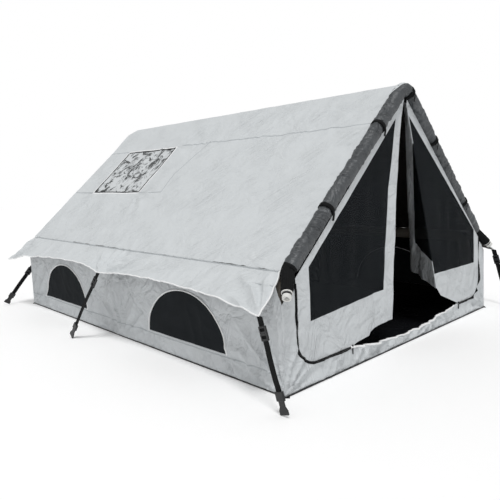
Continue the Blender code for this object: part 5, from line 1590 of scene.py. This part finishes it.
for side, side_name in ((-1, "left"), (1, "right")):
    seat = neck_end(side)
    axis = (seat - knee(side)).normalized()
    place = Matrix.Translation(seat + axis * CLEAR)
    place = place @ Vector((0, 0, 1)).rotation_difference(axis).to_matrix().to_4x4()
    body = turned("valve_ring_" + side_name, [
        (0, 0), (VALVE_FLANGE_RADIUS - 0.001, 0), (VALVE_FLANGE_RADIUS, 0.002),
        (VALVE_FLANGE_RADIUS, VALVE_FLANGE - 0.001), (VALVE_FLANGE_RADIUS - 0.003, VALVE_FLANGE),
        (0.0262, VALVE_FLANGE), (0.0262, 0.021), (VALVE_BODY_RADIUS - 0.0015, 0.022),
        (VALVE_BODY_RADIUS - 0.0005, 0.024), (VALVE_BODY_RADIUS - 0.0005, 0.028),
        (VALVE_BODY_RADIUS - 0.0015, 0.029), (VALVE_BODY_RADIUS - 0.0015, 0.031),
        (VALVE_BODY_RADIUS, 0.032), (VALVE_BODY_RADIUS, VALVE_LENGTH - 0.002),
        (VALVE_BODY_RADIUS - 0.002, VALVE_LENGTH),
        (VALVE_MOUTH_RADIUS + 0.003, VALVE_LENGTH), (VALVE_MOUTH_RADIUS, VALVE_LENGTH - 0.002),
        (VALVE_MOUTH_RADIUS, VALVE_LENGTH - VALVE_MOUTH_DEPTH),
        (VALVE_GUIDE_RADIUS, VALVE_LENGTH - VALVE_MOUTH_DEPTH),
        (VALVE_GUIDE_RADIUS, 0.006), (0, 0.006),
    ], 64, NYLON, place)
    seal = turned("valve_seal_" + side_name, [
        (0.0240, 0.0085), (0.0290, 0.0085), (0.0296, 0.010), (0.0290, 0.0125),
        (0.0296, 0.015), (0.0290, 0.0175), (0.0284, 0.0205), (0.0240, 0.0205),
        (0.0240, 0.0085),
    ], 64, RUBBER, place)
    ribs = []
    for index in range(48):
        angle = 2 * math.pi * index / 48
        spoke = Vector((math.cos(angle), math.sin(angle), 0)) * VALVE_BODY_RADIUS
        ribs.append([place @ (spoke + Vector((0, 0, z))) for z in (0.0335, 0.047)])
    grip = joined("valve_grip_" + side_name, [
        swept(f"rib_{index}", evenly(rib, 0.0135), 0.0006, 5, [NYLON])
        for index, rib in enumerate(ribs)
    ])
    valve = joined("valve_body_" + side_name, [body, grip])
    settle(valve, "tent", "valve", "valve_" + side_name)
    settle(seal, "tent", "valve")
    top = VALVE_LENGTH - PLUNGER_START
    radius = VALVE_GUIDE_RADIUS - PLUNGER_CLEAR
    stem = turned("valve_stem_" + side_name, [
        (0, top - 0.0015), (0.003, top - 0.0012), (0.0038, top), (radius - 0.001, top),
        (radius, top - 0.001), (radius, top - 0.004), (0.005, top - 0.0055),
        (0.005, top - PLUNGER_LENGTH + 0.004), (radius, top - PLUNGER_LENGTH + 0.003),
        (radius, top - PLUNGER_LENGTH), (0, top - PLUNGER_LENGTH),
    ], 40, RUBBER, place)
    settle(stem, "plunger_" + side_name, "valve", "valve_plunger_" + side_name)
print("valves", VALVE_LENGTH, "m long")

# %% [markdown]
# ## The front panel
#
# Jambs and sill are one U-shaped panel. The door zip runs down each jamb, round the
# lower corner and along the sill. Between the two zip sliders the sill's edge is
# free, so it sags and rolls.

# %% The front panel's surface and cut
ZIP_REACH, ZIP_GAP, ZIP_CORNER, ZIP_SILL = 1.365, 0.004, 0.19, 0.15
SILL_SAG, SILL_HALF = 0.076, 0.80
JAMB_TOP, JAMB_SHOULDER, JAMB_CORNER = 0.70, (1.44, 0.63), 0.585
LEFT_SLIDER, RIGHT_SLIDER = 0.77, 0.90
GABLE_STEP = 0.011


def gable_frame(x, height):
    """The gable's leaning plane, its origin at a point given by x and height."""
    up = Vector((0, math.sin(GABLE_LEAN), math.cos(GABLE_LEAN)))
    foot = Vector((x, GABLE_FOOT_Y, 0))
    return plane_frame(foot + up * height, (1, 0, 0), up)


def zip_line(reach, inner, steps=14):
    """The zip from its top end down, round the corner and along the sill."""
    centre = (reach - ZIP_CORNER, ZIP_SILL + ZIP_CORNER)
    points = []
    for turn in np.linspace(0, math.pi / 2, steps + 1):
        points.append((centre[0] + ZIP_CORNER * math.cos(turn),
                       centre[1] - ZIP_CORNER * math.sin(turn)))
    return points + [(inner, ZIP_SILL)]


def sill_edge(steps=24):
    """The sill's free edge between the ends of the zip, sagging in the middle."""
    points = []
    for share in np.linspace(-1, 1, steps + 1)[1:-1]:
        points.append((SILL_HALF * share, ZIP_SILL - SILL_SAG * (1 - share * share)))
    return points


def front_folds(x, z):
    reach = np.abs(x)
    off = 0.0120 * fan(reach, z, (1.49, 0.0), 130, 80, 7, 0.6, 181)
    low = 1 - smooth((z - 0.10) / 0.12)
    middle = 1 - smooth((reach - 1.05) / 0.3)
    off = off + 0.0170 * low * middle * creases(x, z, 0.075, 3.2, 38, 182)
    off = off + 0.0060 * low * creases(x, z, 0.040, 4.5, 12, 187)
    off = off + 0.0080 * low * middle * creases(x, z, 0.060, 2.4, -52, 183)
    off = off + 0.0055 * crumple(x, z, 0.06, 184)
    jamb = smooth((z - 0.2) / 0.1) * smooth((reach - 1.3) / 0.05)
    off = off + 0.0055 * jamb * creases(x, z, 0.04, 5, 88, 185)
    off = off * smooth(z / 0.03) * smooth((INSIDE_WALL - reach) / 0.02)
    return off


front_plane = gable_frame(0, 0)


def front_surface(u, v, lift=0.0):
    return laid(front_plane, u, v, front_folds(u, v) + 0.0005 + lift)


right_side = [(INSIDE_WALL, FLOOR_TOP), (INSIDE_WALL, JAMB_CORNER), JAMB_SHOULDER,
              (ZIP_REACH, JAMB_TOP)] + zip_line(ZIP_REACH, SILL_HALF)
left_side = [(-x, z) for x, z in reversed(right_side)]
front_outline = right_side + list(reversed(sill_edge())) + left_side
front = cut_cloth("front_panel", [front_outline], GABLE_STEP, front_surface, [WALL])
thicken(front, CLOTH)
settle(front, "tent", "wall", "gable_front")
FRONT_AREA = flat_area(front_outline)
sill_line = spaced([(-SILL_HALF, ZIP_SILL), *sill_edge(), (SILL_HALF, ZIP_SILL)], GABLE_STEP, False)
sill_roll = 0.0085 + 0.0030 * noise(sill_line[:, 0] / 0.06, 0, 186)
roll = swept("sill_roll", front_surface(sill_line[:, 0], sill_line[:, 1], -0.001), sill_roll, 10,
             [BINDING])
settle(roll, "tent", "wall")
print("front panel", round(FRONT_AREA, 3), "m2")

# %% [markdown]
# ## The door's zip
#
# The zip is a black tape with a coil of teeth. The tape is a flat band on the panel's
# edge, and Geometry Nodes set a tooth every 4 mm along it. Real coils have one every
# 2.5 mm, which wouldn't show.

# %% Zip tape and teeth on the panel
TOOTH_PITCH, TOOTH_LENGTH, TOOTH_RADIUS = 0.004, 0.007, 0.0011
for side, side_name in ((-1, "left"), (1, "right")):
    slider = LEFT_SLIDER if side < 0 else RIGHT_SLIDER
    run = [(ZIP_REACH, JAMB_TOP)] + zip_line(ZIP_REACH, slider)
    line = spaced([(side * x, z) for x, z in run], 0.011, False)
    tape_line = beside(line, side * 0.004)
    tape = band("zip_tape_" + side_name, [tape_line], front_surface, 0.0095, 0.0040, ZIP_TAPE)
    if side < 0:
        tape.data.flip_normals()
    teeth_line = front_surface(line[:, 0], line[:, 1], 0.0050)
    teeth = rod_rows("zip_coil_" + side_name, [teeth_line], TOOTH_PITCH, TOOTH_LENGTH,
                     TOOTH_RADIUS, ZIP_TOOTH, sides=6, crosswise=True)
    settle(joined("door_zip_" + side_name, [tape, teeth]), "tent", "zip")
print("zip teeth every", TOOTH_PITCH, "m")

# %% [markdown]
# ## The door leaves
#
# A leaf is mesh with a border of wall cloth, sewn into one surface, so it is cut as
# one sheet with two finishes. The left leaf hangs from the sleeve with its free edge
# drawn aside. The right leaf's free part is folded back inwards, and the cloth turns
# over the fold in one piece.

# %% The leaves' outlines and pleats
LEAF_STEP = 0.016
LEAF_TOP_REACH, LEAF_HEM_REACH, LEAF_HEM_HEIGHT = 0.034, 0.237, 0.235
FREE_EDGE_SHARES = ((0.21, 0.085), (0.65, 0.40), (0.72, 0.46))
HEM_SHARES = ((0.30, 0.98), (0.58, 0.62), (0.62, 0.32), (0.90, 0.16))
SLANT_STRIP, TIGHT_STRIP = 0.052, 0.012
MESH_SIDE, MESH_SIDE_FOOT = 1.228, 0.430
MESH_MID, MESH_MID_FOOT = 0.369, 0.494
FREE_STRIP_SHARES = ((0.15, 0.10), (0.50, 0.40))
FREE_STRIP_TOP = 0.10
DOOR_PLEAT, DOOR_PLEAT_HEIGHT = 0.21, 0.008
PLEAT_RAMP, EDGE_RAMP = 0.9, 0.35


def slant_edge(reach):
    """Height of the door's top edge, just under the sleeve."""
    return roof_height(reach, SLEEVE_DEPTH + SLEEVE_RADIUS + SHEET / 2 + CLEAR)


def mesh_edge(reach, strip):
    """Height of a leaf's slanted mesh edge, a strip's width under the roof's slope."""
    return roof_height(reach, SLEEVE_DEPTH + SLEEVE_RADIUS + strip)


LEAF_TOP = slant_edge(LEAF_TOP_REACH)
LEAF_OUTER = ZIP_REACH - ZIP_GAP


def inset(points, amount):
    """Move a zip line's points towards the door's middle, and up off the sill."""
    moved = []
    corner = ZIP_SILL + ZIP_CORNER
    for x, z in points:
        turn = math.atan2(corner - min(z, corner), max(0.0, x - (ZIP_REACH - ZIP_CORNER)))
        moved.append((x - amount * math.cos(turn), z + amount * math.sin(turn)))
    return moved


def pleats(x, z, slider):
    """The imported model's slow upright folds, with finer ones over them."""
    depth = smooth((LEAF_TOP - z) / PLEAT_RAMP)
    low = smooth((z - ZIP_SILL - 0.20) / EDGE_RAMP)
    free = smooth((slider - 0.07 - np.abs(x)) / EDGE_RAMP)
    hold = low + (1 - low) * free
    off = DOOR_PLEAT_HEIGHT * np.sin(2 * math.pi * x / DOOR_PLEAT)
    off = off + 0.0060 * creases(x, z, 0.09, 6, 80, 201) + 0.0030 * crumple(x, z, 0.08, 202)
    return off * depth * hold


def hem_line(slider, reach, height):
    """A lifted hem, from the leaf's free corner to where the zip still holds it."""
    return [(reach + (slider - reach) * run, ZIP_SILL + ZIP_GAP + (height - ZIP_SILL) * rise)
            for run, rise in HEM_SHARES]


print("leaves cut at", LEAF_STEP, "m")

# %% The left leaf
def left_surface(u, v, lift=0.0):
    edge = smooth((u + LEAF_OUTER) / EDGE_RAMP)
    top = smooth((slant_edge(np.abs(u)) - v) / 0.30)
    return laid(front_plane, u, v, pleats(u, v, LEFT_SLIDER) * edge * top + CLOTH / 2 + lift)


fall = LEAF_TOP - LEAF_HEM_HEIGHT
free_edge = [(-LEAF_HEM_REACH * across, LEAF_TOP - fall * down)
             for across, down in FREE_EDGE_SHARES] + [(-LEAF_HEM_REACH, LEAF_HEM_HEIGHT)]
left_outline = [(-LEAF_TOP_REACH, LEAF_TOP), (-LEAF_OUTER, slant_edge(LEAF_OUTER))]
left_outline += [(-x, z) for x, z in inset(zip_line(ZIP_REACH, LEFT_SLIDER), ZIP_GAP)]
left_outline += [(-x, z) for x, z in reversed(hem_line(LEFT_SLIDER, LEAF_HEM_REACH, LEAF_HEM_HEIGHT))]
left_outline += list(reversed(free_edge)) + [(-0.006, LEAF_TOP)]
mesh_top_reach = FREE_STRIP_TOP + LEAF_TOP_REACH
mesh_top = (-mesh_top_reach, mesh_edge(mesh_top_reach, SLANT_STRIP))
left_mesh = [mesh_top, (-MESH_SIDE, mesh_edge(MESH_SIDE, SLANT_STRIP)), (-MESH_SIDE, MESH_SIDE_FOOT),
             (-MESH_MID, MESH_MID_FOOT)]
for across, down in reversed(FREE_STRIP_SHARES):
    left_mesh.append((mesh_top[0] + (-MESH_MID - mesh_top[0]) * across,
                      mesh_top[1] + (MESH_MID_FOOT - mesh_top[1]) * down))
left_leaf = cut_cloth("door_leaf_left", [left_outline], LEAF_STEP, left_surface, [WALL, NET],
                      areas=[left_mesh])
thicken(left_leaf, CLOTH)
settle(left_leaf, "door_left", "wall", "door_left_panel", "door_left_mesh")
LEFT_AREA = flat_area(left_outline)
print("left leaf", round(LEFT_AREA, 3), "m2")

# %% The right leaf, cut flat and then folded back along its fold line
FOLD_TOP = Vector((0.036, LEAF_TOP - 0.03))
FOLD_FOOT = Vector((0.500, 0.358))
FOLD_HEM = (0.572, 0.283)
FOLD_BORDER, FOLD_RADIUS = 0.0008, 0.0045
FOLD_ANGLE = math.radians(127.0)
INNER_HEM = (0.008, 0.225)
INNER_STRIP, INNER_MESH_FOOT, INNER_MESH_TOP_SHARE = 0.11, 0.61, 0.20
MESH_TOP_DROP = 0.10
TIGHT_SIDE, TIGHT_FOOT = MESH_SIDE + 0.032, MESH_SIDE_FOOT + 0.060
fold_line = (FOLD_FOOT - FOLD_TOP).normalized()
fold_side = Vector((-fold_line.y, fold_line.x))


def fold_point(share, offset):
    """A point by the fold line; a positive offset is on the outer part's side."""
    return tuple(FOLD_TOP + (FOLD_FOOT - FOLD_TOP) * share + fold_side * offset)


def right_surface(u, v, lift=0.0):
    """Outer part in the gable's plane; past the fold the cloth turns back inwards."""
    u, v = np.asarray(u, float), np.asarray(v, float)
    du, dv = u - FOLD_TOP.x, v - FOLD_TOP.y
    along = du * fold_line.x + dv * fold_line.y
    away = du * fold_side.x + dv * fold_side.y
    edge = smooth((LEAF_OUTER - u) / EDGE_RAMP) * smooth(np.abs(away) / EDGE_RAMP)
    off = pleats(u, v, RIGHT_SLIDER) * edge * smooth((slant_edge(np.abs(u)) - v) / 0.30)
    off = off + CLOTH / 2 + lift
    turn = np.clip(-away / FOLD_RADIUS, 0, FOLD_ANGLE)
    rest = np.maximum(-away - FOLD_RADIUS * FOLD_ANGLE, 0)
    beside_fold = np.where(away > 0, away, 0)
    side = beside_fold - FOLD_RADIUS * np.sin(turn) - rest * np.cos(turn) + off * -np.sin(turn)
    depth = -FOLD_RADIUS * (1 - np.cos(turn)) - rest * np.sin(turn) + off * np.cos(turn)
    x = FOLD_TOP.x + fold_line.x * along + fold_side.x * side
    z = FOLD_TOP.y + fold_line.y * along + fold_side.y * side
    return laid(front_plane, x, z, depth)


def inner_point(point):
    """Lengthen the inner part by what the round of the fold takes up."""
    away = (Vector(point) - FOLD_TOP).dot(fold_side)
    return tuple(Vector(point) + fold_side * (-FOLD_RADIUS * FOLD_ANGLE / 2 if away < 0 else 0))


right_outline = [(LEAF_TOP_REACH, LEAF_TOP), (LEAF_OUTER, slant_edge(LEAF_OUTER))]
right_outline += inset(zip_line(ZIP_REACH, RIGHT_SLIDER), ZIP_GAP)
right_outline += [FOLD_HEM, fold_point(1, 0), inner_point(INNER_HEM),
                  inner_point((INNER_HEM[0], FOLD_TOP.y)), (FOLD_TOP.x - 0.014, FOLD_TOP.y),
                  fold_point(0, 0)]
foot_share = (FOLD_TOP.y - MESH_MID_FOOT) / (FOLD_TOP.y - FOLD_FOOT.y)
top_share = MESH_TOP_DROP / (FOLD_TOP.y - FOLD_FOOT.y)
outer_top = fold_point(top_share, -2 * FOLD_BORDER)
outer_mesh = [
    (outer_top[0], min(outer_top[1], mesh_edge(outer_top[0], TIGHT_STRIP))),
    fold_point(foot_share, -2 * FOLD_BORDER), (TIGHT_SIDE, TIGHT_FOOT),
    (TIGHT_SIDE, mesh_edge(TIGHT_SIDE, TIGHT_STRIP)),
]
inner_share = (FOLD_TOP.y - INNER_MESH_FOOT) / (FOLD_TOP.y - FOLD_FOOT.y)
inner_top = fold_point(INNER_MESH_TOP_SHARE, -FOLD_BORDER)
inner_mesh = [inner_point((inner_top[0] - FOLD_BORDER, inner_top[1])), inner_top,
              fold_point(inner_share, -FOLD_BORDER),
              inner_point((INNER_HEM[0] + INNER_STRIP, INNER_MESH_FOOT))]
right_leaf = cut_cloth("door_leaf_right", [right_outline], LEAF_STEP, right_surface, [WALL, NET, NET],
                       areas=[outer_mesh, inner_mesh],
                       lines=[spaced([fold_point(0.01, -gap), fold_point(0.99, -gap)], LEAF_STEP, False)
                              for gap in np.linspace(0, FOLD_RADIUS * FOLD_ANGLE, 6)])
thicken(right_leaf, CLOTH)
right_leaf = plain(right_leaf)
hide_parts("door_right_panel", "door_right_mesh", "door_fold_panel", "door_fold_mesh")
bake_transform(right_leaf)
RIGHT_AREA = flat_area(right_outline)
print("right leaf", round(RIGHT_AREA, 3), "m2")

# %% [markdown]
# ## Zip sliders, straps and buckles
#
# The sliders, adjusters, sockets and plugs are rigid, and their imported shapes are
# right, so they stay and get a better finish. Webbing is soft: a woven ribbon with a
# slight bow replaces it, and runs through the adjuster.

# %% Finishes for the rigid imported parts
for node_name, node in frame["nodes"].items():
    finish = None
    if node_name.startswith("guy_") and not node_name.endswith("webbing"):
        finish = ACETAL
    elif node_name.startswith("zip_slider"):
        finish = ZINC
    if finish:
        node.data.materials.clear()
        node.data.materials.append(finish)
print("finished", len(frame["nodes"]), "packed nodes")

# %% Webbing and adjuster bars
WEBBING_WIDTH, WEBBING_THICK = 0.045, 0.0020
FOOT_OFFSETS = ((-0.016, -0.177), (0.120, 0.367), (0.045, 0.105))
GABLE_STRAP_INSET, GABLE_STRAP_DROP, GABLE_STRAP_Y = 0.040, 0.225, 2.001068
ADJUSTER_START, ADJUSTER_LENGTH = 0.060, 0.088
PLUG_LENGTH = 0.034 + 0.034 + 0.048
SOCKET_LENGTH, SOCKET_SLOT = 0.056, 0.012
FOOT_WIDTH, PLUG_THICK = 0.068, 0.009


def strap_frame(side, station):
    """Local X across the webbing, Y down it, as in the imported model."""
    y = TIP_STATIONS[station]
    down = FLAP_TIP_LENGTHS[station] - 0.003
    room = SHEET / 2 + CLEAR + 0.0025 / 2 * math.sqrt(2)
    lift = float(flap_lift(np.array([y]), np.array([down]))[0]) - room
    top = flap_frame(side) @ Vector((-side * y, down, lift))
    reach = SEAM_REACH + FLAP_RUN + FOOT_OFFSETS[station][0]
    foot = Vector((side * reach, y + FOOT_OFFSETS[station][1], 0))
    seam = Vector((0, 1, 0))
    if station == 2:
        top = Vector((side * (HALF_WIDTH - GABLE_STRAP_INSET), GABLE_STRAP_Y,
                      EAVE_LINE_HEIGHT - GABLE_STRAP_DROP))
    heading = (foot - top).normalized()
    if station == 2:
        seam = heading.cross(seam).normalized()
    across = (seam - heading * seam.dot(heading)).normalized()
    return plane_frame(top, across, heading), seam


def strap_length(plane):
    across, down, out = (plane.col[i].xyz for i in range(3))
    corner = abs(across.z) * FOOT_WIDTH / 2 + abs(out.z) * PLUG_THICK / 2
    return (plane.translation.z - 0.0005 - corner) / -down.z


for side, side_name in ((-1, "left"), (1, "right")):
    for station, place_name in enumerate(("front", "middle", "rear")):
        strap = f"{side_name}_{place_name}"
        plane, seam = strap_frame(side, station)
        end = strap_length(plane) - PLUG_LENGTH + 0.034 + 0.0015 - SOCKET_LENGTH - 0.0003 + SOCKET_SLOT
        rows = np.arange(0.0, end, 0.008)
        clear_run = smooth((rows - ADJUSTER_START - ADJUSTER_LENGTH - 0.03) / 0.05)
        bow = clear_run * smooth((end - rows - 0.03) / 0.05) * 0.004 * np.sin(
            math.pi * (rows - 0.15) / max(end - 0.15, 0.1))
        verts, faces, uv = [], [], []
        skew = WEBBING_WIDTH / 2 * seam.dot(plane.col[1].xyz) / seam.dot(plane.col[0].xyz)
        for row, far in enumerate(rows):
            start = skew * (1 - smooth(far / 0.03))
            for across in np.linspace(-1, 1, 5):
                for face_side in (1, -1):
                    spot = Vector((across * WEBBING_WIDTH / 2, far + across * start,
                                   bow[row] + face_side * WEBBING_THICK / 2))
                    verts.append(plane @ spot)
        for row in range(len(rows) - 1):
            for k in range(4):
                a = row * 10 + k * 2
                faces += [(a, a + 2, a + 12, a + 10), (a + 1, a + 11, a + 13, a + 3)]
            for k in (0, 8):
                a = row * 10 + k
                faces.append((a, a + 10, a + 11, a + 1) if k == 0 else (a, a + 1, a + 11, a + 10))
        last = (len(rows) - 1) * 10
        for k in range(4):
            a, b = k * 2, last + k * 2
            faces += [(a, a + 1, a + 3, a + 2), (b, b + 2, b + 3, b + 1)]
        for face in faces:
            for vert in face:
                uv.append((rows[vert // 10], (vert % 10) // 2 * WEBBING_WIDTH / 4))
        ribbon = mesh_piece("webbing_" + strap, [tuple(v) for v in verts], faces, uv, [WEBBING])
        edge = ribbon.modifiers.new("sharp", "EDGE_SPLIT")
        ribbon = plain(ribbon)
        settle(ribbon, f"strap_{strap}", "webbing", f"guy_{strap}_webbing")
        bars = []
        for index, along in enumerate((0.004, ADJUSTER_LENGTH / 2, ADJUSTER_LENGTH - 0.004)):
            spots = [plane @ Vector((x, ADJUSTER_START + along, 0.0068)) for x in
                     np.linspace(-0.021, 0.021, 9)]
            bars.append(swept(f"bar_{strap}_{index}", spots, 0.0026, 12, [BAR]))
        settle(joined("adjuster_bars_" + strap, bars), f"adjuster_{strap}", "buckle")
print("straps", 6)

# %% [markdown]
#
# Each sewn panel's flat outline gives the width and length of its box. The areas come from the
# same outlines that cut the meshes. The front panel is a narrow U and covers less of its box
# than a sheet's row may say, so its row gives the least area that may be said.

# %% Sheets and their flat sizes
def spread(points):
    """Width and length of a flat outline's box."""
    points = np.array(points, float)
    return tuple(float(side) for side in points.max(0) - points.min(0))


LEAST_AREA_SHARE = 0.301
spread(fly_outline)
spread(sky_loop(CLEAR))
spread(rear_outline)
spread(floor_outline)
spread(front_outline)
max(FRONT_AREA, LEAST_AREA_SHARE * np.prod(spread(front_outline)))
spread(left_outline)
spread(right_outline)
for side_name in ("left", "right"):
    spread(flap_outline)
    spread(wall_outline)
    for place in ("front", "rear"):
        spread(half_dome(0))
